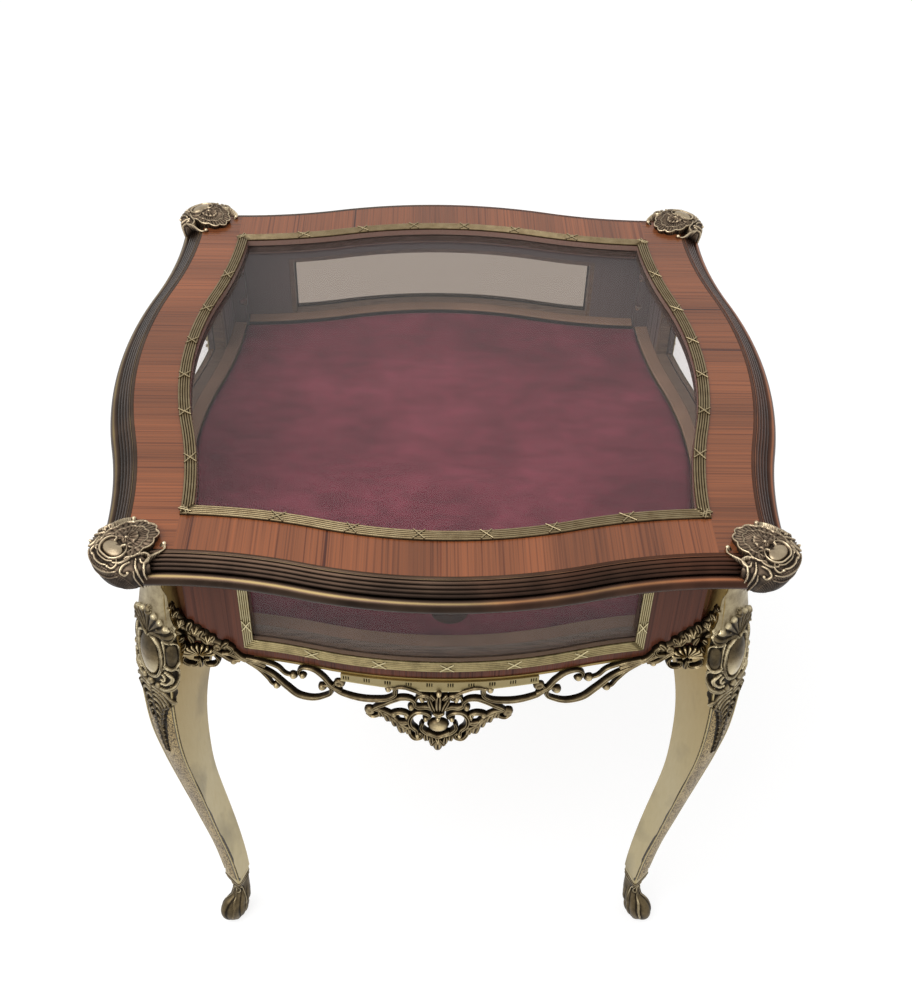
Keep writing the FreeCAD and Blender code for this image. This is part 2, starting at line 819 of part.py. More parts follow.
def leg_section(station, wall):
    """Closed section of the leg: a swelling outward face, two converging sides, a narrow inner facet."""
    share, reach, half, depth = station
    z = leg_z(share)
    out = leg_reach(reach) - wall
    half = half - wall * CORE_AT_SIDE
    back = leg_reach(reach) - depth + wall * CORE_AT_FACET
    facet = float(s.inner_facet) * (CORE_FACET if wall else 1)
    left = Vector(out, -half, z)
    right = Vector(out, half, z)
    nose = Vector(out + float(s.leg_bulge), 0, z)
    inner_right = Vector(back, facet, z)
    inner_left = Vector(back, -facet, z)
    return Part.Wire([
        Part.Arc(left, nose, right).toShape(),
        Part.LineSegment(right, inner_right).toShape(),
        Part.LineSegment(inner_right, inner_left).toShape(),
        Part.LineSegment(inner_left, left).toShape(),
    ])


def loft(wires):
    thing = doc.addObject("Part::Loft", "Loft")
    thing.Sections = [outline(wire) for wire in wires]
    thing.Solid = True
    thing.Ruled = False
    return thing


def legs():
    body = loft([leg_section(station, 0) for station in LEG_STATIONS])
    core = loft([leg_section(station, float(s.leg_wall)) for station in LEG_STATIONS])
    wide = s.lid_corner_half
    floor = s.ankle_height + s.leg_core_foot
    room = box((0, wide * 2), (-wide, wide), (floor, case_bottom - s.leg_shelf))
    case_room = box((0, post_face + s.fit_gap), (-wide, wide), (case_bottom - s.fit_gap, s.lid_height))
    holes = [
        cylinder(s.bolt_radius + s.fit_gap / 2, s.bolt_length, bolt_seat(), 0, z, Vector(1, 0, 0))
        for z in bolt_heights()
    ]
    keep_corners(cut(body, common(core, room), case_room, *holes), "leg", -45)
    keep_corners(knee_mount(body), "knee_mount", -45)
    keep_corners(sabot(), "sabot", -45)


def knee_section(station):
    share, rise, half = station
    z = leg_z(share)
    face = leg_reach(between(LEG_STATIONS, share, 1))
    back = face - 2 * float(s.leg_wall)
    nose = Vector(face + rise, 0, z)
    left = Vector(back, -half, z)
    right = Vector(back, half, z)
    return Part.Wire([Part.Arc(left, nose, right).toShape(), Part.LineSegment(right, left).toShape()])


def knee_mount(leg_body):
    """The cast ornament over a knee: a swelling shield cut to the leg's face."""
    shield = loft([knee_section(station) for station in KNEE_STATIONS])
    wide = s.lid_corner_half
    behind = post_face + s.leg_plate - s.leg_wall
    inside = box((0, behind), (-wide, wide), (s.ankle_height, s.lid_height))
    return cut(shield, leg_body, inside)


# Share of the height up to the ankle, middle, half length and half width of the sabot's neck,
# measured from the leg's lowest section.
SABOT_STATIONS = [
    (0.3, 7, 21, 15),
    (0.46, 4, 16, 14),
    (0.64, 1, 12.5, 12.5),
    (0.84, -0.5, 14, 14.5),
    (1.0, 0, 16.5, 17.5),
]


def sabot():
    middle = leg_reach(LEG_STATIONS[0][1]) - LEG_STATIONS[0][3] / 2
    rings = []
    for share, shift, long, wide in SABOT_STATIONS:
        centre = Vector(middle + shift, 0, share * float(s.ankle_height))
        major, minor = max(long, wide), min(long, wide)
        tip = Vector(major, 0, 0) if long >= wide else Vector(0, major, 0)
        side = Vector(0, minor, 0) if long >= wide else Vector(minor, 0, 0)
        ellipse = Part.Ellipse(centre + tip, centre + side, centre)
        rings.append(Part.Wire([ellipse.toShape()]))
    neck = loft(rings)
    toe = doc.addObject("Part::Ellipsoid", "Toe")
    bind(toe, {"Radius1": s.toe_tall, "Radius2": s.toe_long, "Radius3": s.toe_wide})
    at(toe, length(middle) + s.toe_shift, 0, s.toe_centre)
    wide = s.lid_corner_half
    floor = box((0, wide * 2), (-wide, wide), (-s.toe_tall * 2, length(0)))
    return cut(fuse(neck, toe), floor)


# ---------------------------------------------------------------- aprons

# Middle lines of the left half's scrolls as (x, drop under the case), with the width at each end.
SCROLLS = [
    ([(-276, 2), (-262, 10), (-240, 6), (-226, -2), (-232, -13), (-243, -10)], 12, 6),
    ([(-236, 2), (-215, 6), (-190, 12), (-165, 19)], 6, 7),
    ([(-236, 8), (-214, 21), (-188, 38), (-165, 48), (-147, 53), (-134, 46), (-137, 34)], 8, 6),
    (
        [(-165, 19), (-152, 14), (-139, 2), (-128, 10), (-121, 27), (-104, 37), (-78, 39), (-60, 29)]
        + [(-54, 20), (-61, 14)],
        6,
        6,
    ),
    ([(-139, 48), (-118, 42), (-98, 50), (-74, 68), (-48, 84), (-26, 96)], 9, 11),
    ([(-98, 42), (-88, 55), (-62, 50), (-44, 44)], 9, 9),
    ([(-60, 29), (-44, 20), (-26, 14), (-8, 14)], 7, 9),
]
KNOBS = [
    (-230, 8, 5.5),
    (-165, 20, 6),
    (-137, 33, 6.5),
    (-61, 14, 5),
    (-113, 24, 6),
    (-84, 56, 8),
    (-50, 93, 5),
]
FANS = [(-267, 0, 13), (-40, 70, 13)]
# Discs over and under the cartouche: distance from its rim to their middle, and radius.
CREST = (6, 16)
PENDANT = (12, 13)


def ribbon(points, start_width, end_width):
    """A tapering strip along a smooth curve in the XZ plane."""
    middle = Part.BSplineCurve()
    middle.interpolate([Vector(x, 0, -drop) for x, drop in points])
    first, last = middle.FirstParameter, middle.LastParameter
    steps = 4 * len(points)
    left, right = [], []
    for step in range(steps + 1):
        share = step / steps
        at_parameter = first + (last - first) * share
        point = middle.value(at_parameter)
        tangent = middle.tangent(at_parameter)[0]
        normal = Vector(-tangent.z, 0, tangent.x)
        half = (start_width + (end_width - start_width) * share) / 2
        left.append(point + normal * half)
        right.append(point - normal * half)
    one = Part.BSplineCurve()
    one.interpolate(left)
    other = Part.BSplineCurve()
    other.interpolate(right)
    cap = Part.LineSegment(left[-1], right[-1]).toShape()
    foot = Part.LineSegment(right[0], left[0]).toShape()
    return Part.Face(Part.Wire(Part.__sortEdges__([one.toShape(), cap, other.toShape(), foot])))


def disc(x, drop, radius):
    centre = Vector(x, 0, -drop)
    return Part.Face(Part.Wire([Part.Circle(centre, Vector(0, 1, 0), radius).toShape()]))


def apron():
    """Pierced ornament under one side, bent to the side's curve, with a flange under the wall."""
    reach_y = s.lid_corner_half + s.side_bow

    def prism(face):
        thing = extrude(face, -reach_y, -reach_y * 0.8, Vector(0, 1, 0))
        return bind(thing, {"Placement.Base.z": case_bottom - s.fit_gap})

    half = [prism(ribbon(*scroll)) for scroll in SCROLLS]
    half += [prism(disc(*knob)) for knob in KNOBS + FANS]
    left = fuse(*half)
    right = doc.addObject("Part::Mirroring", "Right")
    right.Source = left
    right.Normal = Vector(1, 0, 0)
    shift = float(s.apron_shift)
    drop = float(s.cartouche_drop)
    radius = float(s.cartouche_radius)
    middle = [
        disc(-shift, drop, radius),
        disc(-shift, drop + radius + PENDANT[0], PENDANT[1]),
        disc(-shift, drop - radius - CREST[0], CREST[1]),
    ]
    slab = Part.Face(Part.makePolygon([
        Vector(x, 0, z)
        for x, z in (
            (-shift - float(s.plate_half), 0),
            (-shift + float(s.plate_half), 0),
            (-shift + float(s.plate_half), -float(s.plate_drop)),
            (-shift - float(s.plate_half), -float(s.plate_drop)),
            (-shift - float(s.plate_half), 0),
        )
    ]))
    pierced = fuse(left, right, *(prism(face) for face in [*middle, slab]))
    inner = s.apron_inset + s.apron_thick
    top = case_bottom + s.window_reed_sill + s.edge_line_height
    shell = band(s.apron_inset, inner, case_bottom - s.apron_deep, top, s.apron_end)
    ornament = common(pierced, shell)
    face_room = band(
        s.case_setback - s.edge_line_rise - s.fit_gap * 2,
        wall_inner,
        case_bottom - s.fit_gap,
        top + s.board_thick,
        s.apron_end + s.corner_flat,
    )
    reed_foot = window_bottom - s.window_reed_sill - s.fit_gap
    reed_end = s.window_half + s.window_reed_width + s.fit_gap
    reed_room = band(0, wall_inner, reed_foot, window_top, reed_end)
    flange_top = case_bottom - s.fit_gap
    flange = band(
        inner - s.apron_thick / 2,
        inner + s.flange_width,
        flange_top - s.flange_thick,
        flange_top,
        s.plate_half,
    )
    hole_tall = s.flange_thick * 3
    holes = [
        cylinder(s.screw_radius + s.fit_gap / 2, hole_tall, x, apron_screw_y(), case_bottom - hole_tall)
        for x in apron_screw_xs()
    ]
    return cut(fuse(cut(ornament, face_room, reed_room), flange), *holes)


def aprons():
    keep_sides(apron(), "apron")
    head_z = case_bottom - s.flange_thick - s.fit_gap - s.screw_head_thick
    row = group(*(screw(x, apron_screw_y(), head_z, True) for x in apron_screw_xs()))
    keep(all_round(row), "apron_screws")


# ---------------------------------------------------------------- hinges


def leaf(x, bottom, top, knuckles, others, up):
    """A hinge leaf at x with its knuckles, cleared for the other leaf's."""
    half = s.hinge_length / 2
    flat = box((x - half, x + half), (s.hinge_axis - s.leaf_depth, s.hinge_axis), (bottom, top))
    along = Vector(1, 0, 0)
    barrels = [
        cylinder(s.knuckle_radius, end - start, x + start, s.hinge_axis, hinge_z, along)
        for start, end in knuckles
    ]
    whole = fuse(flat, *barrels)
    play = s.hinge_play
    room = s.knuckle_radius + play
    rooms = [
        cylinder(room, end - start + play * 2, x + start - play, s.hinge_axis, hinge_z, along)
        for start, end in others
    ]
    bore = cylinder(s.pin_radius + s.fit_gap / 2, s.hinge_length, x - half, s.hinge_axis, hinge_z, along)
    head_z = bottom if up else top
    holes = [screw_hole(sx, sy, head_z, up) for sx, sy in hinge_screw_places(x)]
    return cut(whole, *rooms, bore, *holes)


def hinges():
    half = s.hinge_length / 2
    third = s.hinge_length / 6
    outer = [(-half, -third - s.hinge_play), (third + s.hinge_play, half)]
    inner = [(-third, third)]
    case_leaves = [leaf(x, case_top - s.leaf_thick, case_top, outer, inner, False) for x in hinge_xs()]
    keep(group(*case_leaves), "hinge_case_leaves")
    lid_leaves = [leaf(x, lid_bottom, lid_bottom + s.leaf_thick, inner, outer, True) for x in hinge_xs()]
    keep(group(*lid_leaves), "hinge_lid_leaves")
    pins = [
        cylinder(s.pin_radius, s.hinge_length, x - half, s.hinge_axis, hinge_z, Vector(1, 0, 0))
        for x in hinge_xs()
    ]
    keep(group(*pins), "hinge_pins")
    places = [place for x in hinge_xs() for place in hinge_screw_places(x)]
    keep(group(*(screw(x, y, case_top, False) for x, y in places)), "hinge_case_screws")
    keep(group(*(screw(x, y, lid_bottom, True) for x, y in places)), "hinge_lid_screws")


# ---------------------------------------------------------------- lock


def origin_plane(body, role):
    return next(feature for feature in body.Origin.OriginFeatures if feature.Role == role)


def lock_sketch(body, name, half, top, foot, round_foot):
    """A plate outline in the XZ plane: square top, and a half-round foot where asked."""
    sketch = body.newObject("Sketcher::SketchObject", name)
    sketch.AttachmentSupport = [(origin_plane(body, "XZ_Plane"), "")]
    sketch.MapMode = "FlatFace"
    wide = float(half)
    high = float(top)
    low = float(foot) + (wide if round_foot else 0)
    corners = [Vector(-wide, low, 0), Vector(-wide, high, 0), Vector(wide, high, 0), Vector(wide, low, 0)]
    for start, end in zip(corners, corners[1:]):
        sketch.addGeometry(Part.LineSegment(start, end))
    if round_foot:
        round_end = Part.Circle(Vector(0, low, 0), UP, wide)
        sketch.addGeometry(Part.ArcOfCircle(round_end, pi, 2 * pi))
    else:
        sketch.addGeometry(Part.LineSegment(corners[3], corners[0]))
    return sketch


def constrain(sketch, half, top, foot, round_foot):
    def add(*terms):
        return sketch.addConstraint(Sketcher.Constraint(*terms))

    add("Coincident", 0, 2, 1, 1)
    add("Coincident", 1, 2, 2, 1)
    add("Vertical", 0)
    add("Vertical", 2)
    if round_foot:
        add("Tangent", 0, 1, 3, 1)
        add("Tangent", 2, 2, 3, 2)
    else:
        add("Coincident", 2, 2, 3, 1)
        add("Coincident", 3, 2, 0, 1)
        add("Horizontal", 3)
    add("Symmetric", 0, 2, 1, 2, -2)
    width = add("DistanceX", 1, 1, 1, 2, 2 * float(half))
    sketch.setExpression(f"Constraints[{width}]", (half * 2).text)
    height = add("DistanceY", -1, 1, 1, 1, float(top))
    sketch.setExpression(f"Constraints[{height}]", top.text)
    low = foot + half if round_foot else foot
    bottom = add("DistanceY", -1, 1, 0, 1, float(low))
    sketch.setExpression(f"Constraints[{bottom}]", low.text)


def upright_pad(name, half, top, foot, thick, round_foot=False):
    """A body padded symmetrically about the XZ plane."""
    body = doc.addObject("PartDesign::Body", name)
    sketch = lock_sketch(body, f"{name}_outline", half, top, foot, round_foot)
    constrain(sketch, half, top, foot, round_foot)
    pad = body.newObject("PartDesign::Pad", f"{name}_pad")
    pad.Profile = sketch
    pad.Midplane = True
    pad.setExpression("Length", thick.text)
    doc.recompute()
    return body


def add_pocket(body, name, half, top, foot, thick):
    sketch = lock_sketch(body, f"{name}_outline", half, top, foot, False)
    constrain(sketch, half, top, foot, False)
    pocket = body.newObject("PartDesign::Pocket", name)
    pocket.Profile = sketch
    pocket.Midplane = True
    pocket.setExpression("Length", thick.text)
    doc.recompute()


def lock():
    """Box lock inside the front wall, its bolt, and the keep in the lid. The bolt rests drawn back."""
    half = s.lock_width / 2
    lock_top = case_top
    case = upright_pad("lock_case", half, lock_top, case_top - s.lock_tall, s.lock_thick, round_foot=True)
    solid = case.Shape.Volume
    bolt_top = case_top
    bolt_foot = bolt_top - s.bolt_tall
    room = s.bolt_width / 2 + s.bolt_play
    way_foot = bolt_foot - s.bolt_play
    way_deep = s.bolt_thick + s.bolt_play * 2
    add_pocket(case, "bolt_way", room, lock_top + s.lock_wall, way_foot, way_deep)
    if not case.Shape.Volume < solid:
        raise SystemExit("the lock's bolt way cuts nothing")
    at(case, s.lock_x, lock_y(), 0)
    keep(case, "lock_case")
    bolt = upright_pad("lock_bolt", s.bolt_width / 2, bolt_top, bolt_foot, s.bolt_thick)
    at(bolt, s.lock_x, lock_y(), 0)
    keep(bolt, "lock_bolt")
    slot = bolt_room(s.bolt_play, lid_bottom, lid_bottom + s.keep_thick * 2)
    keep(cut(keep_block(Length(0, "0")), slot), "lock_keep")


# ---------------------------------------------------------------- build

lid_wood()
lid_trim()
lid_brass()
case_walls()
windows()
base_and_lining()
edge_lines()
corner_posts()
legs()
aprons()
hinges()
lock()
doc.recompute()

for thing in doc.Objects:
    if {"Invalid", "Error"} & set(thing.State):
        raise SystemExit(f"{thing.Label} ({thing.Name}) did not compute: {thing.State}")
for part in parts:
    shape = part.Shape
    if shape.isNull() or not shape.isValid() or not shape.Solids:
        raise SystemExit(f"{part.Label} has no valid solid")

os.makedirs("parts", exist_ok=True)
for part in parts:
    part.Shape.exportStep(os.path.join("parts", f"{part.Label}.step"))
    box_size = part.Shape.BoundBox
    sizes = f"{box_size.XLength:.1f} x {box_size.YLength:.1f} x {box_size.ZLength:.1f}"
    print(f"{part.Label}: {len(part.Shape.Solids)} solids, {sizes}")
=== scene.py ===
"""Render model of a collectors' display table: serpentine glazed case, hinged glass lid, cast brass mounts.

+Z up, front facing -Y. Shapes are worked out in millimetres and become metres in `Casting.mesh`.
The table's four sides are one curve turned about its axis, and so are its four corners, so a piece is
made once, on the front side or the front left corner, and turned from there.
"""

import bmesh
import bpy
import numpy as np
from mathutils import Matrix, Vector


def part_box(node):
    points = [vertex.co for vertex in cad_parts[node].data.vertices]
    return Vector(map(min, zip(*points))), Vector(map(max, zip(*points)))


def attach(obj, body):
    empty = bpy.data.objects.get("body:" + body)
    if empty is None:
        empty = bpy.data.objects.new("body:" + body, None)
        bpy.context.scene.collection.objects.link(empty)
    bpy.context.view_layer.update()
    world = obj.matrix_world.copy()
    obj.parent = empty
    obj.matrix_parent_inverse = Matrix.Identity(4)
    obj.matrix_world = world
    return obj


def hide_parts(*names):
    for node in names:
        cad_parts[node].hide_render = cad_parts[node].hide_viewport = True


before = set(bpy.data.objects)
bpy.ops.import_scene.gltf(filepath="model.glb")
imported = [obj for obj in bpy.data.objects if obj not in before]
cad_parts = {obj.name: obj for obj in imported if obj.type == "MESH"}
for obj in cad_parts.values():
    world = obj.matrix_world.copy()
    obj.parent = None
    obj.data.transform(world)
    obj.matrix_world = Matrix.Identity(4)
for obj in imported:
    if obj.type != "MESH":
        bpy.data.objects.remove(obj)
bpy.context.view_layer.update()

MM = 0.001
SIDES = {"front": 0, "right": 1, "back": 2, "left": 3}
CORNERS = {"front_left": 0, "front_right": 1, "back_right": 2, "back_left": 3}
ROOT_HALF = np.sqrt(0.5)


def cad(node):
    """Lowest and highest corner of a CAD node, in millimetres."""
    return np.array(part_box(node)) / MM


# ---------------------------------------------------------------- sizes, most of them read from the frame

# Half the lid's size at its corners and at the middle of its sides, and the flat left beside each corner.
corner_half = cad("lid_rail_left")[1][1]
side_half = -cad("lid_rail_front")[0][1]
corner_flat = 37.5
# A side's edge curve from its middle: an arc bowed out, then one bowed in that ends where the flat begins.
straight_from = corner_half - corner_flat
side_bow = side_half - corner_half
arc_radius = (straight_from**2 + side_bow**2) / (4 * side_bow)
arc_sine = straight_from / (2 * arc_radius)

lid_top = cad("lid_rail_front")[1][2]
reed_frame_out = -cad("lid_reed_frame")[0][1] - side_half
reed_frame_width = 13.5
reed_frame_rise = cad("lid_reed_frame")[1][2] - lid_top
moulding_end = cad("edge_moulding_front")[1][0]

case_bottom = cad("case_wall_front")[0][2]
window_frame = cad("window_reed_front")
window_reed_out = -window_frame[0][1] - side_half
window_reed_width = 11.0
window_sill = window_frame[0][2] + 14.5

leg_foot = cad("leg_front_left")[0][2]
leg_top = cad("leg_front_left")[1][2]
post_face = 413.3
pad_box = cad("velvet_pad")


# ---------------------------------------------------------------- carriers


def points_of(x, y, z):
    """Points from three coordinates, each a number or an array that spreads to the others' shape."""
    return np.stack(np.broadcast_arrays(x, y, z), axis=-1)


def unchanged(points):
    """Leaves points as they are."""
    return points


def on_side(flat):
    """Lays (along, out, up) on the front side: `out` is measured from the edge curve's point at x = along."""
    along, out, up = flat[..., 0], flat[..., 1], flat[..., 2]
    x = np.abs(along)
    turn = arc_radius * arc_sine
    lean = np.where(x <= turn, x / arc_radius, np.clip((straight_from - x) / arc_radius, 0, 1))
    level = np.sqrt(1 - lean**2)
    convex = arc_radius * (1 - level) - side_half
    concave = arc_radius * (level - 1) - corner_half
    y = np.where(x <= turn, convex, concave)
    return points_of(along + np.sign(along) * lean * out, y - level * out, up)


def on_corner(flat):
    """Lays (out, across, up) on the front left corner: out along its diagonal, across towards the front."""
    out, across, up = flat[..., 0], flat[..., 1], flat[..., 2]
    return points_of((across - out) * ROOT_HALF, -(across + out) * ROOT_HALF, up)


def quarter_turn(points, count):
    """Turns points about the table's axis by so many right angles."""
    for _ in range(count % 4):
        points = points_of(-points[..., 1], points[..., 0], points[..., 2])
    return points


def mitre(out):
    """How far along a side its parallel curve at `out` meets its neighbour's, found by a few corrections."""
    reach = corner_half + np.asarray(out, dtype=float)
    for _ in range(12):
        met = on_side(points_of(reach, out, 0.0))
        reach = reach - met[..., 1] - met[..., 0]
    return reach


# ---------------------------------------------------------------- curves


def cubic(t, span, start, start_slope, end, end_slope):
    """A cubic from start to end with a slope at each: t goes from 0 to 1 over the span."""
    first = (2 * t**3 - 3 * t**2 + 1) * start + (t**3 - 2 * t**2 + t) * span * start_slope
    last = (3 * t**2 - 2 * t**3) * end + (t**3 - t**2) * span * end_slope
    return first + last


def curve(points, count):
    """A smooth curve through the points: cubic spans, each joint's slope taken from its neighbours."""
    points = np.asarray(points, dtype=float)
    at = np.concatenate([[0], np.cumsum(np.linalg.norm(np.diff(points, axis=0), axis=1))])
    slope = np.gradient(points, at, axis=0)
    places = np.linspace(0, at[-1], count)
    low = np.clip(np.searchsorted(at, places, side="right") - 1, 0, len(at) - 2)
    span = (at[low + 1] - at[low])[:, None]
    t = (places - at[low])[:, None] / span
    return cubic(t, span, points[low], slope[low], points[low + 1], slope[low + 1])


def stations(rows, at, column):
    """A smooth value of one column of a station list at any first-column value."""
    rows = np.asarray(rows, dtype=float)
    places, values = rows[:, 0], rows[:, column]
    slope = np.gradient(values, places)
    low = np.clip(np.searchsorted(places, at, side="right") - 1, 0, len(rows) - 2)
    span = places[low + 1] - places[low]
    t = np.clip((at - places[low]) / span, 0, 1)
    return cubic(t, span, values[low], slope[low], values[low + 1], slope[low + 1])


# ---------------------------------------------------------------- meshes


class Casting:
    """Surfaces gathered for one mesh, each a grid of points with a relief from 0, hollow, to 1, proud; on
    some castings the relief also holds painted shade and painted highlights.
    """

    def __init__(self):
        self.points = []
        self.relief = []
        self.quads = []
        self.caps = []
        self.count = 0

    def grid(self, points, relief, round_u=False, round_v=False):
        """Adds a grid of points, joined up along a direction that is round."""
        rows, columns = points.shape[:2]
        index = np.arange(rows * columns).reshape(rows, columns) + self.count
        if round_u:
            index = np.vstack([index, index[:1]])
        if round_v:
            index = np.hstack([index, index[:, :1]])
        corners = [index[:-1, :-1], index[1:, :-1], index[1:, 1:], index[:-1, 1:]]
        self.quads.append(np.stack([corner.ravel() for corner in corners], axis=1))
        self.points.append(points.reshape(-1, 3))
        self.relief.append(np.broadcast_to(relief, points.shape[:2]).ravel())
        self.count += rows * columns
        return index

    def bar(self, points, relief):
        """Adds closed rings, one per row, as a solid bar with both ends capped."""
        index = self.grid(points, relief, round_v=True)[:, :-1]
        self.caps += [index[0][::-1], index[-1]]

    def take(self, other, change):
        """Adds another casting's surfaces, its points changed on the way."""
        self.points.append(change(np.concatenate(other.points)))
        self.relief += other.relief
        self.quads += [quads + self.count for quads in other.quads]
        self.caps += [cap + self.count for cap in other.caps]
        self.count += other.count

    def mesh(self, name, carrier, turns):
        """A smooth mesh in metres, its points laid by the carrier and turned, with doubles merged."""
        points = np.concatenate(self.points)
        if carrier:
            points = carrier(points)
        points = quarter_turn(points, turns) * MM
        quads = np.concatenate(self.quads)
        mesh = bpy.data.meshes.new(name)
        mesh.vertices.add(len(points))
        mesh.vertices.foreach_set("co", points.astype(np.float32).ravel())
        corners = np.concatenate([quads.ravel(), *self.caps])
        sizes = np.concatenate([np.full(len(quads), 4), [len(cap) for cap in self.caps]]).astype(np.int32)
        mesh.loops.add(len(corners))
        mesh.loops.foreach_set("vertex_index", corners.astype(np.int32))
        mesh.polygons.add(len(sizes))
        mesh.polygons.foreach_set("loop_start", (np.cumsum(sizes) - sizes).astype(np.int32))
        mesh.update(calc_edges=True)
        relief = mesh.attributes.new("relief", "FLOAT", "POINT")
        relief.data.foreach_set("value", np.concatenate(self.relief).astype(np.float32))
        tidy = bmesh.new()
        tidy.from_mesh(mesh)
        bmesh.ops.remove_doubles(tidy, verts=tidy.verts, dist=1e-6)
        bmesh.ops.recalc_face_normals(tidy, faces=tidy.faces)
        tidy.to_mesh(mesh)
        tidy.free()
        mesh.shade_smooth()
        return mesh


def add_object(name, data):
    """A new object in the scene."""
    added = bpy.data.objects.new(name, data)
    bpy.context.scene.collection.objects.link(added)
    return added


def place(casting, name, node, body, material, slot, carrier=None, turns=0, sharp=45):
    """Makes the casting a piece that rides on a body and stands for a CAD node."""
    mesh = casting.mesh(name, carrier, turns)
    mesh.set_sharp_from_angle(angle=np.radians(sharp))
    mesh.materials.append(material)
    piece = add_object(name, mesh)
    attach(piece, body)
    if node:
        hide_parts(node)
    return piece


def place_all(places, carrier, body, sharp, *castings):
    """Places brass castings at each side or corner, each given with its material, name and CAD node.

    Both names end in the name of the side or corner. A casting without a CAD node has None.
    """
    for name, turns in places.items():
        for casting, material, piece, node in castings:
            names = f"{piece}_{name}", node and f"{node}_{name}"
            place(casting, *names, body, material, "antique_brass", carrier, turns, sharp)


# ---------------------------------------------------------------- cast ornament, as separate strokes


def behind(front, back):
    """A front grid's two side edges, moved to depth `back`."""
    rear = front[:, [-1, 0]]
    rear[..., 1] = back
    return rear


def closed(front, rear, relief):
    """A front grid's rows closed by two columns behind them, and their relief, which is 0 on those two."""
    relief = np.broadcast_to(relief, front.shape[:2])
    relief = np.concatenate([relief, np.zeros((len(front), 2))], axis=1)
    return np.concatenate([front, rear], axis=1), relief


def strip(casting, points, widths, rise, back, reeds=0, count=None, crown=0.55, lobes=0, taper=0.0):
    """A cast ribbon along a curve in the (along, up) plane.

    Across the ribbon the height is a half round, cut by grooves between its reeds. Along it the width goes
    evenly from each given width to the next, swells and pinches once for each lobe, and narrows at both
    ends over the share `taper` of the length.
    """
    points = np.asarray(points, dtype=float)
    length = np.linalg.norm(np.diff(points, axis=0), axis=1).sum()
    count = count or int(np.clip(length / 1.6, 9, 80))
    path = curve(points, count)
    t = np.linspace(0, 1, count)
    half = np.interp(t, np.linspace(0, 1, len(widths)), widths) / 2
    if lobes:
        half = half * (0.78 + 0.22 * np.abs(np.sin(np.pi * lobes * t)))
    if taper:
        half = half * np.sqrt(np.clip(np.minimum(t, 1 - t) / taper, 0.03, 1))
    forward = np.gradient(path, axis=0)
    forward /= np.maximum(np.linalg.norm(forward, axis=1, keepdims=True), 1e-9)
    normal = np.stack([-forward[:, 1], forward[:, 0]], axis=-1)
    columns = 9 if reeds < 2 else 6 * reeds + 1
    across = np.linspace(-1, 1, columns)
    round_top = (1 - crown) + crown * np.sqrt(np.clip(1 - across**2, 0, 1))
    round_top[[0, -1]] = 0.35
    grooves = np.abs(np.sin(np.pi * reeds * (across + 1) / 2)) if reeds else np.ones(columns)
    notch = np.abs(np.cos(np.pi * lobes * t))[:, None] if lobes else np.zeros((count, 1))
    vein = np.abs(across)[None, :]
    height = rise * round_top[None, :] * (0.72 + 0.28 * grooves)[None, :] * (1 - 0.35 * notch * vein)
    ends = np.clip(half / half.max(), 0.35, 1)[:, None]
    out = back + height * (0.55 + 0.45 * ends)
    flat = path[:, None, :] + normal[:, None, :] * (half[:, None] * across[None, :])[..., None]
    front = points_of(flat[..., 0], out, flat[..., 1])
    # Bright along the crest and dark in the grooves and notches: rubbed wear and patina, plus a painted
    # highlight along the crest.
    bright = (0.05 + 0.95 * round_top**3 * (0.2 + 0.8 * grooves))[None, :] * (1 - 0.6 * notch * vein)
    casting.bar(*closed(front, behind(front, back), bright))


def knob(casting, x, up, radius, rise, back, petals=0, hollow=0.0, squash=1.0):
    """A turned boss or flower: a half round from rim to crown, waved into petals or dished in the middle."""
    angle = np.linspace(0, 2 * np.pi, petals * 8 or 12, endpoint=False)
    shares = np.array([0.0, 0.25, 0.5, 0.7, 0.85, 0.96, 1.0])
    wave = np.abs(np.cos(petals * angle / 2)) if petals else np.ones_like(angle)
    reach = radius * shares[None, :] * (1 - 0.16 * (1 - wave[:, None]) * shares[None, :])
    height = np.sqrt(np.clip(1 - (shares * 0.97) ** 2, 0, 1))
    height = height * (1 - hollow * np.exp(-((shares / 0.4) ** 2)))
    body = rise * height[None, :] * (1 - 0.5 * (1 - wave[:, None]) * (shares[None, :] > 0.3))
    body += rise * 0.35 * np.exp(-((shares[None, :] / 0.22) ** 2)) if petals else 0
    across = reach * np.cos(angle)[:, None]
    along = reach * np.sin(angle)[:, None] * squash
    front = points_of(x + across, back + body, up + along)
    relief = np.clip(height[None, :] * (0.35 + 0.65 * wave[:, None]), 0, 1)
    casting.grid(*closed(front, behind(front, back), relief), round_u=True)


def shell(casting, x, up, radius, turn, spread, ribs, rise, back):
    """A scallop: ribs fan from a hinge point, each a half round that widens to a scalloped rim."""
    bearing = np.linspace(-spread / 2, spread / 2, ribs * 8 + 1)[:, None]
    wave = np.abs(np.sin(np.pi * ribs * (bearing / spread + 0.5)))
    shares = np.linspace(0.06, 1, 12)[None, :]
    reach = radius * shares * (1 - 0.12 * (1 - wave) * shares)
    height = rise * (0.35 + 0.65 * shares**0.7) * (0.5 + 0.5 * wave)
    height = height * np.where(shares > 0.97, 0.6, 1)
    angle = turn + bearing
    front = points_of(x + reach * np.cos(angle), back + height, up + reach * np.sin(angle))
    casting.bar(*closed(front, behind(front, back), wave))


def leaf(casting, base, tip, width, bend, rise, back):
    """A round-tipped leaf from base to tip, its middle line bowed sideways by `bend`."""
    base, tip = np.array(base, dtype=float), np.array(tip, dtype=float)
    run = tip - base
    side = np.array([-run[1], run[0]]) / np.linalg.norm(run)
    middle = (base + tip) / 2 + side * bend
    widths = [width * 0.5, width, width, width * 0.85]
    strip(casting, [base, middle, tip], widths, rise, back, 2, taper=0.15, crown=0.75)


# ---------------------------------------------------------------- cast ornament, as relief on a surface


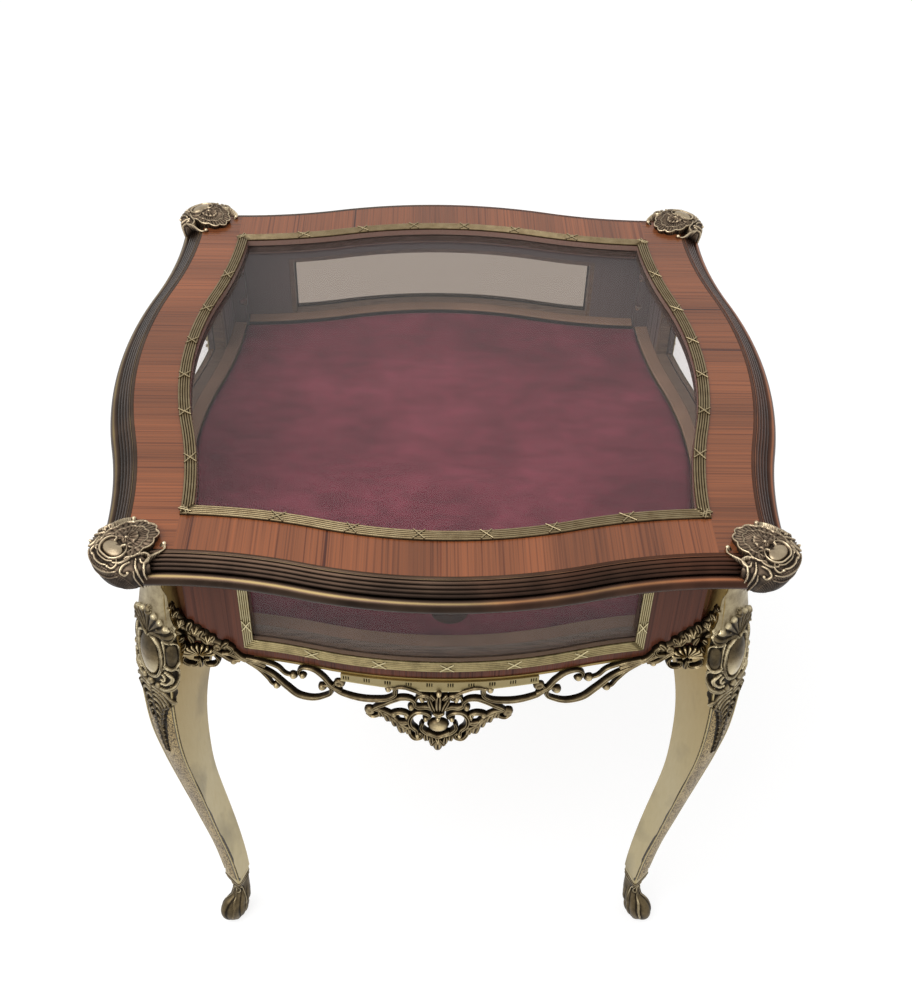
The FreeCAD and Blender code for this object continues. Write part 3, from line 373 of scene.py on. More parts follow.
def stroke(x, y, points, widths, height, groove=0.0):
    """Height of a half-round stroke along a curve, from each place's distance to it; a groove dishes it."""
    path = curve(points, 60)
    half = np.interp(np.linspace(0, 1, 60), np.linspace(0, 1, len(widths)), widths) / 2
    gap = np.hypot(x[..., None] - path[:, 0], y[..., None] - path[:, 1]) / half
    nearest = gap.min(axis=-1)
    top = np.sqrt(np.clip(1 - nearest**2, 0, 1))
    return height * top * (1 - groove * np.exp(-((nearest / 0.45) ** 2)))


def bump(x, y, centre, long, wide, height, power=0.5):
    """Height of an oval boss, `long` and `wide` being its half axes along x and y."""
    u, v = (x - centre[0]) / long, (y - centre[1]) / wide
    return height * np.clip(1 - u**2 - v**2, 0, 1) ** power


def fan(x, y, centre, turn, spread, radius, ribs, height, inner):
    """Height of a ribbed shell spreading from a centre: deeper ribs and a curled rim further out."""
    dx, dy = x - centre[0], y - centre[1]
    reach = np.hypot(dx, dy) / radius
    angle = (np.arctan2(dy, dx) - turn + np.pi) % (2 * np.pi) - np.pi
    wave = np.abs(np.cos(np.pi * ribs * angle / spread))
    rim = 1 - 0.1 * (1 - wave)
    inside = (np.abs(angle) < spread / 2) & (reach < rim) & (reach > inner)
    profile = 0.45 + 0.55 * reach + 0.25 * np.exp(-(((reach - 0.9) / 0.07) ** 2))
    return np.where(inside, height * profile * (0.35 + 0.65 * wave), 0)


def rosette(x, y, centre, radius, petals, height):
    """Height of a small flower: petals round a bead."""
    dx, dy = x - centre[0], y - centre[1]
    reach = np.hypot(dx, dy) / radius
    wave = np.abs(np.cos(petals * np.arctan2(dy, dx) / 2))
    ring = np.sqrt(np.clip(1 - reach**2, 0, 1)) * (0.55 + 0.45 * wave)
    bead = 1.15 * np.sqrt(np.clip(1 - (reach / 0.35) ** 2, 0, 1))
    return height * np.maximum(ring, bead)


def mottling(x, y, pitch, seed=0.0):
    """A repeatable uneven value from 0 to 1 for each place, from sines of mixed pitch."""
    u, v = x / pitch, y / pitch
    wave = np.sin(6.3 * u + 2.1 * np.sin(3.7 * v + seed)) + np.sin(5.9 * v + 1.9 * np.sin(4.3 * u - seed))
    wave += np.sin(3.1 * (u + v) + 2.6 * np.sin(2.9 * (u - v) + seed))
    return wave / 6 + 0.5


def blurred(height, passes):
    """The height averaged with its neighbours, several times over."""
    for _ in range(passes):
        height = (height + np.roll(height, 1, 0) + np.roll(height, -1, 0)) / 3
        height = (height + np.roll(height, 1, 1) + np.roll(height, -1, 1)) / 3
    return height


def shine(height, passes, gain, level):
    """Relief value: bright where the surface stands above its surroundings, dark where it lies below."""
    return np.clip(level + gain * (height - blurred(height, passes)), 0, 1)


# ---------------------------------------------------------------- finishes


def opaque(color):
    """A plain colour with its alpha; an output stays as it is."""
    return color if isinstance(color, bpy.types.NodeSocket) else (*color, 1)


def scaled(color, share):
    """A lighter or darker share of a colour."""
    return tuple(share * c for c in color)


class Finish:
    """A material and its nodes. Inputs are values or outputs, and what adds a pattern returns its output."""

    def __init__(self, name, roughness=0.5, metallic=0.0):
        self.material = bpy.data.materials.new(name)
        self.material.use_nodes = True
        self.tree = self.material.node_tree
        self.shader = self.tree.nodes["Principled BSDF"]
        self.shade({"Roughness": roughness, "Metallic": metallic})
        coordinates = self.add("ShaderNodeTexCoord")
        self.place = coordinates.outputs["Object"]
        self.normal = coordinates.outputs["Normal"]

    def join(self, source, socket):
        """Links an output to an input, or gives the input a plain value."""
        if isinstance(source, bpy.types.NodeSocket):
            self.tree.links.new(source, socket)
        else:
            socket.default_value = source

    def shade(self, inputs):
        """Joins values or outputs to the shader's named inputs."""
        for name, source in inputs.items():
            self.join(source, self.shader.inputs[name])

    def add(self, kind, inputs=None, **settings):
        """Adds a node with its settings; its inputs go by name, or by number where names repeat."""
        node = self.tree.nodes.new(kind)
        for name, value in settings.items():
            setattr(node, name, value)
        for name, source in (inputs or {}).items():
            self.join(source, node.inputs[name])
        return node

    def stretched(self, scale, turn=(0, 0, 0)):
        """Object coordinates, stretched so that a pattern has so many features to the metre each way."""
        inputs = {"Vector": self.place, "Scale": scale, "Rotation": turn}
        return self.add("ShaderNodeMapping", inputs).outputs["Vector"]

    def noise(self, scale, detail=3.0, distortion=0.0, turn=(0, 0, 0)):
        """Noise with so many features to the metre each way."""
        inputs = {"Vector": self.stretched(scale, turn), "Scale": 1.0}
        inputs |= {"Detail": detail, "Distortion": distortion}
        return self.add("ShaderNodeTexNoise", inputs).outputs["Fac"]

    def relief(self):
        """The relief value of a casting's surface."""
        return self.add("ShaderNodeAttribute", attribute_name="relief").outputs["Fac"]

    def along(self, letter):
        """One of the object's coordinates, by its letter."""
        return self.add("ShaderNodeSeparateXYZ", {"Vector": self.place}).outputs[letter]

    def ramp(self, source, stops):
        """Colours along a value: stops are (value, colour)."""
        node = self.add("ShaderNodeValToRGB", {"Fac": source})
        band = node.color_ramp
        for element, (position, color) in zip((band.elements[0], band.elements[1]), (stops[0], stops[-1])):
            element.position = position
            element.color = opaque(color)
        for position, color in stops[1:-1]:
            band.elements.new(position).color = opaque(color)
        return node.outputs["Color"]

    def mixed(self, share, one, two, blend="MIX"):
        """Two colours, mixed or blended by a share of the second."""
        inputs = {0: share, 6: opaque(one), 7: opaque(two)}
        return self.add("ShaderNodeMix", inputs, data_type="RGBA", blend_type=blend).outputs[2]

    def times(self, one, two):
        """Two colours multiplied."""
        return self.mixed(1.0, one, two, "MULTIPLY")

    def ranged(self, source, low, high, start=0.0, end=1.0):
        """A value that goes from low to high while its source goes from start to end."""
        inputs = {"Value": source, "From Min": start, "From Max": end, "To Min": low, "To Max": high}
        return self.add("ShaderNodeMapRange", inputs).outputs["Result"]

    def math(self, operation, *values):
        """One of Blender's operations on numbers."""
        return self.add("ShaderNodeMath", dict(enumerate(values)), operation=operation).outputs["Value"]

    def facing_in(self, limit):
        """1 where a face looks out from the axis by less than a limit: -0.5 or so inwards, 0.5 outwards."""
        flat = self.add("ShaderNodeVectorMath", {0: self.place, 1: (1, 1, 0)}, operation="MULTIPLY")
        inputs = {0: flat.outputs["Vector"], 1: self.normal}
        toward = self.add("ShaderNodeVectorMath", inputs, operation="DOT_PRODUCT")
        return self.math("LESS_THAN", toward.outputs["Value"], limit)

    def bump(self, source, strength, distance):
        """Bumps of so many metres' height."""
        node = self.add("ShaderNodeBump", {"Height": source, "Strength": strength, "Distance": distance})
        self.shade({"Normal": node.outputs["Normal"]})


def veneer(name, axis, base, inside, sill, gloss):
    """Polished rosewood veneer with its grain along one axis: bands, long thin streaks and sparse dark lines.

    Faces that look inwards are stained `inside`; on the case, the faces of its openings are painted `sill`.
    """

    def drawn_out(across, along):
        """So many features to the metre along the grain, and across it both ways."""
        return tuple(along if index == axis else across for index in range(3))

    finish = Finish(name, 0.3)
    wide = finish.noise(drawn_out(16, 0.7), 2.0, 0.2)
    fine = finish.noise(drawn_out(420, 3.0), 3.0)
    lines = finish.noise(drawn_out(95, 0.9), 2.0)
    streak_tones = [(0.28, (0.42, 0.3, 0.26)), (0.47, (0.98, 0.98, 0.98)), (0.72, (1.3, 1.22, 1.14))]
    line_tones = [(0.27, (0.3, 0.19, 0.16)), (0.31, (1, 1, 1)), (0.69, (1, 1, 1)), (0.74, (0.66, 0.56, 0.52))]
    tone = finish.ramp(wide, [(0.32, scaled(base, 0.74)), (0.5, base), (0.68, scaled(base, 1.25))])
    streaks = finish.ramp(fine, streak_tones)
    rare = finish.ramp(lines, line_tones)
    lined = finish.times(finish.times(tone, streaks), rare)
    color = finish.mixed(finish.facing_in(-0.1), lined, inside)
    if sill:
        color = finish.mixed(finish.facing_in(0.1), lined, sill)
        color = finish.mixed(finish.facing_in(-0.2), color, inside)
    finish.shade({"Base Color": color, "Roughness": finish.ranged(fine, 0.34, 0.24, 0.3, 0.7)})
    finish.bump(fine, 0.05, 0.0002)
    finish.shade({"Specular IOR Level": 2 * gloss, "Coat Weight": gloss, "Coat Roughness": 0.15})
    return finish.material


def antique_brass(name, dark, body, bright, low, high, wear=0.22):
    """Cast brass: dark patina in the hollows of its relief, rubbed bright on what stands proud.

    On some castings the same relief also carries painted highlights and painted shade. The worn-and-lit value
    is the relief made uneven by `wear` either way: `low` is still dark, and `high` is bright.
    """
    finish = Finish(name, 0.35, 1.0)
    relief = finish.relief()
    cloud = finish.noise((90, 90, 90), 4.0)
    spots = finish.noise((600, 600, 600), 3.0)
    worn_and_lit = finish.math("ADD", relief, finish.ranged(cloud, -wear, wear))
    worn_and_lit = finish.math("ADD", worn_and_lit, finish.ranged(spots, -0.08, 0.08))
    middle = (low + high) / 2
    stops = [(low, dark), (middle - 0.08, body), (middle + 0.2, scaled(bright, 0.6)), (high, bright)]
    tone = finish.ramp(worn_and_lit, stops)
    finish.shade({"Base Color": tone, "Roughness": finish.ranged(worn_and_lit, 0.58, 0.24, 0.1, 0.9)})
    finish.bump(spots, 0.25, 0.0003)
    return finish.material


def polished_brass(name):
    """Smooth pale brass, a little clouded, yellower and duller towards the top of the legs."""
    pale = (0.405, 0.33, 0.172)
    warm = (pale[0] * 0.98, pale[1] * 0.86, pale[2] * 0.66)
    finish = Finish(name, 0.3, 1.0)
    cloud = finish.noise((14, 14, 9), 5.0, 0.4)
    fine = finish.noise((220, 220, 60), 3.0)
    clouded = finish.ramp(cloud, [(0.3, scaled(pale, 0.62)), (0.48, pale), (0.62, pale), (0.8, warm)])
    # Darker and yellower towards the top of the legs.
    towards_top = finish.ranged(finish.along("Z"), 0.0, 1.0, 0.34, 0.6)
    tone = finish.mixed(towards_top, clouded, (0.76, 0.65, 0.45), "MULTIPLY")
    finish.shade({"Base Color": tone, "Roughness": finish.ranged(fine, 0.24, 0.42)})
    finish.bump(fine, 0.08, 0.0003)
    return finish.material


def punched_brass(name):
    """The legs' matted ground: small punch marks, dark in their hollows, beside the rubbed raised lines."""
    finish = Finish(name, 0.42, 1.0)
    relief = finish.relief()
    places = finish.stretched((480, 480, 480))
    marks = finish.add("ShaderNodeTexVoronoi", {"Vector": places, "Scale": 1.0}).outputs["Distance"]
    cloud = finish.noise((45, 45, 30), 4.0)
    mark_tones = [(0.1, (0.56, 0.41, 0.155)), (0.4, (0.36, 0.255, 0.095)), (0.75, (0.10, 0.07, 0.03))]
    ground = finish.ramp(marks, mark_tones)
    tone = finish.ramp(cloud, [(0.3, (0.6, 0.56, 0.52)), (0.6, (1, 1, 1)), (0.8, (1.25, 1.2, 1.1))])
    matted = finish.times(ground, tone)
    lines = finish.ramp(relief, [(0.1, (0.03, 0.022, 0.012)), (0.9, (0.5, 0.41, 0.22))])
    raised = finish.math("GREATER_THAN", relief, 0.5)
    hollow = finish.math("LESS_THAN", relief, 0.3)
    edge = finish.math("MAXIMUM", raised, hollow)
    tone = finish.mixed(edge, matted, lines)
    finish.shade({"Base Color": tone, "Roughness": finish.ranged(marks, 0.3, 0.6)})
    finish.bump(marks, -0.5, 0.0008)
    return finish.material


def patinated_bronze(name):
    """Edge moulding: brown-black patina with a painted brass highlight along the half round; its colour turns
    to copper towards +X.
    """
    finish = Finish(name, 0.34, 1.0)
    relief = finish.relief()
    cloud = finish.noise((22, 22, 22), 4.0, 0.2)
    tint = finish.noise((5, 5, 5), 2.0)
    tinted = finish.math("MULTIPLY_ADD", finish.along("X"), 1.1, tint)
    # Relief with an uneven patina: it carries the painted highlight on the half round and the painted shade
    # on the lower reeds.
    worn_and_lit = finish.math("ADD", relief, finish.ranged(cloud, -0.25, 0.2))
    brass_tones = [(0.15, (0.024, 0.016, 0.012)), (0.55, (0.098, 0.062, 0.042)), (0.95, (0.27, 0.2, 0.085))]
    copper_tones = [(0.15, (0.028, 0.015, 0.011)), (0.55, (0.12, 0.052, 0.032)), (0.95, (0.40, 0.155, 0.07))]
    brass = finish.ramp(worn_and_lit, brass_tones)
    copper = finish.ramp(worn_and_lit, copper_tones)
    tone = finish.mixed(finish.ranged(tinted, 0.0, 1.0, 0.42, 0.62), brass, copper)
    finish.shade({"Base Color": tone, "Roughness": finish.ranged(cloud, 0.28, 0.46)})
    finish.bump(cloud, 0.1, 0.0004)
    return finish.material


def pane(name, tint, film, index):
    """Window glass: tinted, with a film of dust; it lets light through to what it covers."""
    finish = Finish(name, 0.02)
    finish.shade({"Base Color": opaque(tint), "Transmission Weight": 1.0 - film, "IOR": index})
    smear = finish.noise((7, 7, 7), 3.0)
    finish.shade({"Roughness": finish.ranged(smear, 0.0, 0.008)})
    path = finish.add("ShaderNodeLightPath").outputs
    clear = finish.add("ShaderNodeBsdfTransparent", {"Color": opaque(tint)})
    lighting = finish.math("MAXIMUM", path["Is Shadow Ray"], path["Is Diffuse Ray"])
    inputs = {0: lighting, 1: finish.shader.outputs["BSDF"], 2: clear.outputs["BSDF"]}
    mix = finish.add("ShaderNodeMixShader", inputs)
    finish.join(mix.outputs["Shader"], finish.tree.nodes["Material Output"].inputs["Surface"])
    return finish.material


def velvet(name):
    """Cotton velvet: mottled where the pile lies different ways, with a soft sheen."""
    finish = Finish(name, 0.95)
    cloud = finish.noise((9, 9, 9), 5.0, 0.6)
    pile = finish.noise((2200, 2200, 2200), 2.0)
    drag = finish.noise((26, 60, 26), 4.0, 0.8, (0, 0, 0.6))
    base_tones = [(0.3, (0.098, 0.013, 0.024)), (0.5, (0.142, 0.021, 0.037)), (0.7, (0.188, 0.033, 0.054))]
    base = finish.ramp(cloud, base_tones)
    brush = finish.ramp(drag, [(0.35, (0.8, 0.76, 0.78)), (0.65, (1.12, 1.1, 1.12))])
    finish.shade({"Base Color": finish.times(base, brush)})
    finish.bump(pile, 0.15, 0.0003)
    finish.shade({"Sheen Weight": 0.09, "Sheen Roughness": 0.4, "Sheen Tint": (0.75, 0.42, 0.5, 1)})
    return finish.material


def cloth_lining(name):
    """Tan cloth over the sill: a fine weave, a little uneven."""
    finish = Finish(name, 0.9)
    weave = finish.noise((1400, 1400, 1400), 2.0)
    cloud = finish.noise((18, 18, 18), 3.0)
    tone = finish.ramp(cloud, [(0.3, (0.19, 0.113, 0.073)), (0.7, (0.255, 0.153, 0.1))])
    finish.shade({"Base Color": tone})
    finish.bump(weave, 0.12, 0.0003)
    return finish.material


def stained_wood(name, color):
    """Plain stained wood for beads and boards, with a straight fine grain."""
    finish = Finish(name, 0.5)
    lines = finish.noise((40, 500, 500), 3.0)
    finish.shade({"Base Color": finish.ramp(lines, [(0.35, scaled(color, 0.5)), (0.65, color)])})
    finish.bump(lines, 0.15, 0.0003)
    return finish.material


def worn_metal(name, color, roughness=0.38):
    """Hinges, screws and lock: metal dulled by handling, with fine scratches; the lock's near-black colour is
    painted shade.
    """
    finish = Finish(name, roughness, 1.0)
    rub = finish.noise((60, 900, 900), 3.0)
    cloud = finish.noise((120, 120, 120), 3.0)
    tone = finish.ramp(cloud, [(0.35, scaled(color, 0.55)), (0.6, color)])
    finish.shade({"Base Color": tone, "Roughness": finish.ranged(rub, roughness - 0.1, roughness + 0.14)})
    return finish.material


rosewood = (0.195, 0.062, 0.023)
rail_inside = (0.26, 0.17, 0.135)
wall_inside = (0.14, 0.11, 0.105)
sill_tan = (0.18, 0.118, 0.08)
veneer_front_back = veneer("veneer_grain_front_to_back", 1, rosewood, rail_inside, None, 0.15)
veneer_sides = veneer("veneer_grain_side_to_side", 0, rosewood, rail_inside, None, 0.15)
veneer_case = veneer("case_veneer", 2, (0.092, 0.030, 0.017), wall_inside, sill_tan, 0.06)

# Brasses by name: colours of hollows, body and rubbed or painted-highlight parts, the relief up to which it
# is dark and from which it is bright and, where it isn't the usual one, the wear.
BRASSES = {
    "cast_brass": ((0.022, 0.017, 0.011), (0.15, 0.112, 0.06), (0.66, 0.55, 0.34), 0.12, 0.92),
    "lid_reed_brass": ((0.04, 0.028, 0.016), (0.19, 0.138, 0.074), (0.48, 0.385, 0.225), 0.05, 1.0),
    "window_reed_brass": ((0.06, 0.045, 0.022), (0.36, 0.29, 0.145), (0.66, 0.57, 0.34), 0.0, 0.85),
    "mount_brass": ((0.024, 0.018, 0.014), (0.165, 0.118, 0.08), (0.66, 0.53, 0.35), 0.12, 0.9),
    "apron_brass": ((0.018, 0.013, 0.008), (0.105, 0.074, 0.038), (0.58, 0.46, 0.26), 0.2, 1.12, 0.34),
    "plate_brass": ((0.03, 0.022, 0.01), (0.30, 0.235, 0.11), (0.52, 0.43, 0.23), 0.05, 0.85, 0.12),
}
brasses = {name: antique_brass(name, *tones) for name, tones in BRASSES.items()}
leg_brass = polished_brass("leg_brass")
stippled_brass = punched_brass("stippled_brass")
edge_bronze = patinated_bronze("edge_bronze")
lid_pane = pane("lid_pane", (0.95, 0.935, 0.925), 0.007, 1.18)
window_pane = pane("window_pane", (0.82, 0.80, 0.79), 0.015, 1.16)
# The back pane is tinted far darker than the others: painted shade on what is seen through it and on the
# ledge behind it.
shade_darkened_back_pane = pane("shade_darkened_back_pane", (0.31, 0.26, 0.22), 0.015, 1.16)
velvet_cloth = velvet("velvet")
lining_cloth = cloth_lining("sill_lining")
dark_bead = stained_wood("dark_bead", (0.10, 0.072, 0.058))
tan_bead = stained_wood("tan_bead", (0.19, 0.125, 0.085))
board_wood = stained_wood("board_wood", (0.30, 0.19, 0.10))
steel = worn_metal("steel", (0.55, 0.53, 0.5))
# The lock's near-black red-brown is painted shade: the shade it hangs in under the front rail.
shade_painted_lock = worn_metal("shade_painted_lock", (0.05, 0.026, 0.02), 0.5)
hinge_brass = worn_metal("hinge_brass", (0.55, 0.43, 0.2))


# ---------------------------------------------------------------- reeded strips


def reed_section(width, rise, reeds, foot):
    """Places across a strip, its half-round reeds' height and relief there, and two more to close it."""
    across = np.linspace(0, width, reeds * 8 + 1)
    within = 2 * ((across / width * reeds) % 1) - 1
    wave = np.sqrt(np.clip(1 - within**2, 0, 1))
    wave[[0, -1]] = 0
    below_it = [0, 0]
    height = np.concatenate([foot + (rise - foot) * wave, below_it])
    bright = np.concatenate([0.05 + 0.55 * wave, below_it])
    return np.concatenate([across, across[[-1, 0]]]), height, bright


def cross_tie(casting, x, up, long, wide, rise, back):
    """Two narrow ribbons crossing over the reeds."""
    for sign in (-1, 1):
        start, end = (x - long, up - sign * wide), (x + long, up + sign * wide)
        strip(casting, [start, (x, up), end], [1.7, 2.0, 1.7], rise, back, 0, 14, crown=0.8)


def lid_tie_places():
    """Six ties to a side, their row a little off the middle."""
    spacing, shift = 75.5, 6.0
    return (np.arange(6) - 2.5) * spacing + shift


def lid_reed_frame():
    """Reeded frame round the lid's glass: one section carried along each side between its mitres."""
    across, height, bright = reed_section(reed_frame_width, reed_frame_rise - 0.4, 5, 1.2)
    out = reed_frame_out - across
    t = np.linspace(-1, 1, 109)[:, None]
    ring = points_of(t * mitre(out)[None, :], out, lid_top + height)
    middle = reed_frame_out - reed_frame_width / 2
    corner_reach = mitre(np.array([middle]))[0] / ROOT_HALF
    tie_back = reed_frame_rise - 1.6

    def over_side(points):
        """Lays a tie, made as (along, height, out), over a side's reeds."""
        return points_of(points[..., 0], middle + points[..., 2], lid_top + points[..., 1])

    def over_corner(points):
        """Lays a tie, made as (across, height, out), over a corner's mitre."""
        return on_corner(points_of(corner_reach + points[..., 2], points[..., 0], lid_top + points[..., 1]))

    side, ties, corner = Casting(), Casting(), Casting()
    side.bar(ring, bright)
    for x in lid_tie_places():
        cross_tie(ties, x, 0, 6.8, 6.5, 2.6, tie_back)
    side.take(ties, over_side)
    for sign in (-1, 1):
        strip(corner, [(-6.4, -3.2 * sign), (6.4, 3.2 * sign)], [1.5, 1.9, 1.5], 2.4, tie_back, 0, 12)
    strip(corner, [(-7.2, 0.8), (0, -2.6), (7.2, 0.8)], [1.4, 2.2, 1.4], 2.2, tie_back, 0, 16)
    casting = Casting()
    for turn in range(4):
        casting.take(side, lambda points: quarter_turn(on_side(points), turn))
        casting.take(corner, lambda points: quarter_turn(over_corner(points), turn))
    place(casting, "reeded_lid_frame", "lid_reed_frame", "lid", brasses["lid_reed_brass"], "antique_brass")


def window_strip(casting, inner, outer, reeds, tone):
    """Reeds between an inner and an outer line of the wall's face, mitred where the lines end."""
    inner, outer = np.array(inner, dtype=float), np.array(outer, dtype=float)
    width = np.linalg.norm(outer[0] - inner[0]) * ROOT_HALF
    rise = 2.8
    across, height, bright = reed_section(width, rise - 0.3, reeds, 0.9)
    c = (across / width)[None, :, None]
    t = np.linspace(0, 1, 49)[:, None, None]
    flat = (inner[0] * (1 - t) + inner[1] * t) * (1 - c) + (outer[0] * (1 - t) + outer[1] * t) * c
    casting.bar(points_of(flat[..., 0], height + window_reed_out - rise, flat[..., 1]), tone * bright)


def window_reeds():
    """The reeded frame of each window, with ties over its sill and low on both uprights."""
    half = window_frame[1][0]
    sight = half - window_reed_width
    foot, head = window_frame[0][2], window_frame[1][2]
    top = head - window_reed_width
    inner = [(-sight, window_sill), (sight, window_sill), (sight, top), (-sight, top)]
    outer = [(-half, foot), (half, foot), (half, head), (-half, head)]
    tie_back = window_reed_out - 1.0
    casting = Casting()
    # The reeds of the sill, the first side, are painted darker than the other three, as shade.
    for side, tone in enumerate((0.55, 1.0, 1.0, 1.0)):
        following = (side + 1) % 4
        window_strip(casting, (inner[side], inner[following]), (outer[side], outer[following]), 5, tone)
    for x in np.arange(-2, 3) * 72.5 + 2:
        cross_tie(casting, x, (foot + window_sill) / 2, 7.4, 5.2, 1.9, tie_back)
    for x in (-1, 1):
        cross_tie(casting, x * (sight + half) / 2, window_sill + 23, 4.6, 7.5, 1.9, tie_back)
    reeds = (casting, brasses["window_reed_brass"], "window_reeds", "window_reed")
    place_all(SIDES, on_side, "case", 45, reeds)


# ---------------------------------------------------------------- edge mouldings

# The notches over the hinges: their places along the back, half their length, how far down their top lies.
HINGE_PLACE, HINGE_HALF, HINGE_DROP = 67, 23, 20.5


def moulding_section():
    """Section of the lid's edge as (out, drop, relief): fillet, sloping reeds, half round, underside.

    The relief carries painted light: a highlight along the half round, and shade that darkens the reeds
    further down the slope.
    """
    fillet = [(0.2, 0.0, 0.45), (0.8, 0.0, 0.45), (3.4, 0.1, 0.45), (3.7, 0.5, 0.05)]
    fillet += [(4.0, 0.1, 0.6), (4.6, 0.0, 0.75), (5.0, 0.4, 0.3)]
    slope_start, slope_end = np.array([5.2, 0.8]), np.array([19.2, 11.0])
    reed_count = 4
    t = np.linspace(0, 1, reed_count * 7 + 1)
    run = slope_end - slope_start
    normal = np.array([-run[1], run[0]]) / np.linalg.norm(run)
    wave = np.sqrt(np.clip(1 - (2 * ((t * reed_count) % 1) - 1) ** 2, 0, 1))
    reeds = slope_start + run * t[:, None] - normal * (wave - 0.6)[:, None]
    # Painted shade: the further down the slope a reed lies, the darker it is.
    reeds = np.column_stack([reeds, 0.02 + (0.46 - 0.28 * t) * wave])
    angle = np.radians(np.linspace(112, -90, 22))
    # Painted highlight: a narrow bright band along the upper front of the half round, with the rest of it
    # dark.
    light = 0.26 + 0.62 * np.exp(-(((angle - 1.1) / 0.26) ** 2))
    torus = np.column_stack([21 + 7.5 * np.cos(angle), 20 - 7.5 * np.sin(angle), light])
    under = [(8.0, 26.9, 0.1), (7.6, 26.8, 0.1), (0.2, 26.5, 0.1)]
    return np.vstack([fillet, reeds, torus, under])


def edge_mouldings():
    """The lid's four edges: the section carried along each side, notched over the hinges at the back."""
    section = moulding_section()
    along = np.linspace(-1, 1, 241)[:, None] * moulding_end
    for name, turn in SIDES.items():
        drop = np.repeat(section[None, :, 1], len(along), axis=0)
        if name == "back":
            # Room over each hinge knuckle in the inner corner of the back moulding's foot.
            by_hinge = np.abs(np.abs(along[:, 0]) - HINGE_PLACE) < HINGE_HALF
            drop[by_hinge, -2:] = HINGE_DROP
        casting = Casting()
        casting.bar(points_of(along, section[:, 0], lid_top - drop), section[:, 2])
        piece, node = f"moulding_{name}", f"edge_moulding_{name}"
        place(casting, piece, node, "lid", edge_bronze, "dark_bronze", on_side, turn, 60)


# ---------------------------------------------------------------- corner mounts

# Half section of a corner mount, from its crown: distance from its middle, and height over the veneer.
MOUNT_SECTION = [(0, 11), (13, 10.3), (24.8, 8.4), (34, 5.2), (40, 0.5), (40.4, -5), (39.4, -13), (36.5, -25)]
MOUNT_SECTION += [(32, -33), (20, -38), (0, -38)]
MOUNT_CENTRE = 317.0
# Strokes of its ornament: points (out, side), widths along them, height and, where one is dished, its groove.
MOUNT_STROKES = [
    ([(28.3, 0), (27.3, 8), (22.5, 13.6), (15, 15.4), (9, 12.5), (6.6, 7.5), (10, 5.5)],
     [2.4, 2.6, 2.4, 2], 4.0),
    ([(31.6, 0), (30.8, 7), (27.5, 12.5)], [2.6, 2.4, 1.6], 2.6),
    ([(28, 14.5), (23.5, 20), (15.5, 22), (8, 19.6), (3.6, 13.5), (5.4, 9.4)],
     [2.2, 3, 3, 2.8, 2.2], 3.6, 0.4),
    ([(23, 14), (27, 19), (33, 18.5), (35, 13)], [1.8, 2.4, 2.2, 1.6], 2.6),
    ([(37.6, 0), (36.8, 6), (34.6, 10.5)], [2.6, 2.4, 1.8], 2.8),
    ([(33, 24), (40, 18.5), (44.5, 9), (45.6, 0)], [1.8, 2.8, 2.8, 2.4], 2.7, 0.3),
    ([(38, 30), (49, 22), (54.5, 10), (55.5, 0)], [1.6, 2.4, 2.4, 2], 2.0, 0.3),
    ([(16, 26), (25, 25), (31, 29), (30, 35), (24, 35)], [1.8, 2.8, 2.8, 2.4, 1.8], 3.2, 0.4),
    ([(5, 24), (-2, 27), (-4, 32), (1, 36), (7, 34), (6, 30)], [1.8, 2.6, 2.8, 2.6, 2.2, 1.6], 3.6, 0.3),
    ([(-27, 27), (-24, 31.5), (-15, 33.4), (-5, 33.4), (6, 37), (11, 46), (10, 64), (7, 90)],
     [2.4, 3, 3.2, 3.4, 3], 3.6, 0.4),
    ([(9, 27), (14, 33), (17.5, 43), (18, 56), (15, 74), (13, 92)], [1.8, 3, 3.2, 3, 2.6], 3.0, 0.4),
    ([(20, 38), (24.5, 46), (25, 58), (22, 74), (19, 90)], [1.6, 2.6, 2.8, 2.6, 2.2], 2.4, 0.3),
]
# Beads of its ornament: place (out, side), radius, height.
MOUNT_BEADS = [((34.6, 13), 1.9, 3.2), ((25, 34), 2.2, 3.6), ((-26.5, 26.5), 3.0, 4.2)]


def mount_relief(out, across):
    """Height of the corner mount's ornament over its boss, and how polished it is.

    A kidney boss in a frame of scrolls lies outwards, a rosette in a ruffled shell inwards, and leafy
    bands run down over the moulding. It is the same either side of the diagonal.
    """
    side = np.abs(across)
    kidney = bump(out, side, (17.5, 0), 8.4, 13.2, 1.0, 0.3)
    kidney = kidney * (1 - 0.7 * np.exp(-((out - 9.5) ** 2 + side**2) / 12))
    layers = [4.0 * kidney, rosette(out, side, (0.5, 0), 5.6, 8, 4.4)]
    layers += [stroke(out, side, *row) for row in MOUNT_STROKES]
    layers += [bump(out, side, at, radius, radius, height) for at, radius, height in MOUNT_BEADS]
    reach = np.hypot(out - 1, across * 1.5) / 38
    turned = np.arctan2(across * 1.5, -(out - 1))
    lobes = np.abs(np.cos(5.5 * turned))
    inward = np.clip((2.2 - np.abs(turned)) / 0.15, 0, 1)
    edge = 0.86 + 0.09 * lobes
    ruffle = 3.6 * np.exp(-(((reach - edge) / 0.035) ** 2))
    second = 2.6 * np.exp(-(((reach - 0.6 - 0.06 * np.abs(np.sin(5.5 * turned))) / 0.035) ** 2))
    ribs = (0.7 + 1.5 * reach) * (0.35 + 0.65 * np.abs(np.cos(16.5 * turned)))
    ribs = ribs * (reach < edge) * (reach > 0.17)
    core = 3.4 * (0.4 + 0.6 * lobes) * (reach < 0.36) * (reach > 0.12)
    layers += [part * inward for part in (ruffle, second, ribs, core)]
    diaper = 0.8 * np.abs(np.sin(out) * np.sin(side)) * ((out > 34) & (out < 60))
    return np.maximum(np.max(layers, axis=0), diaper), kidney


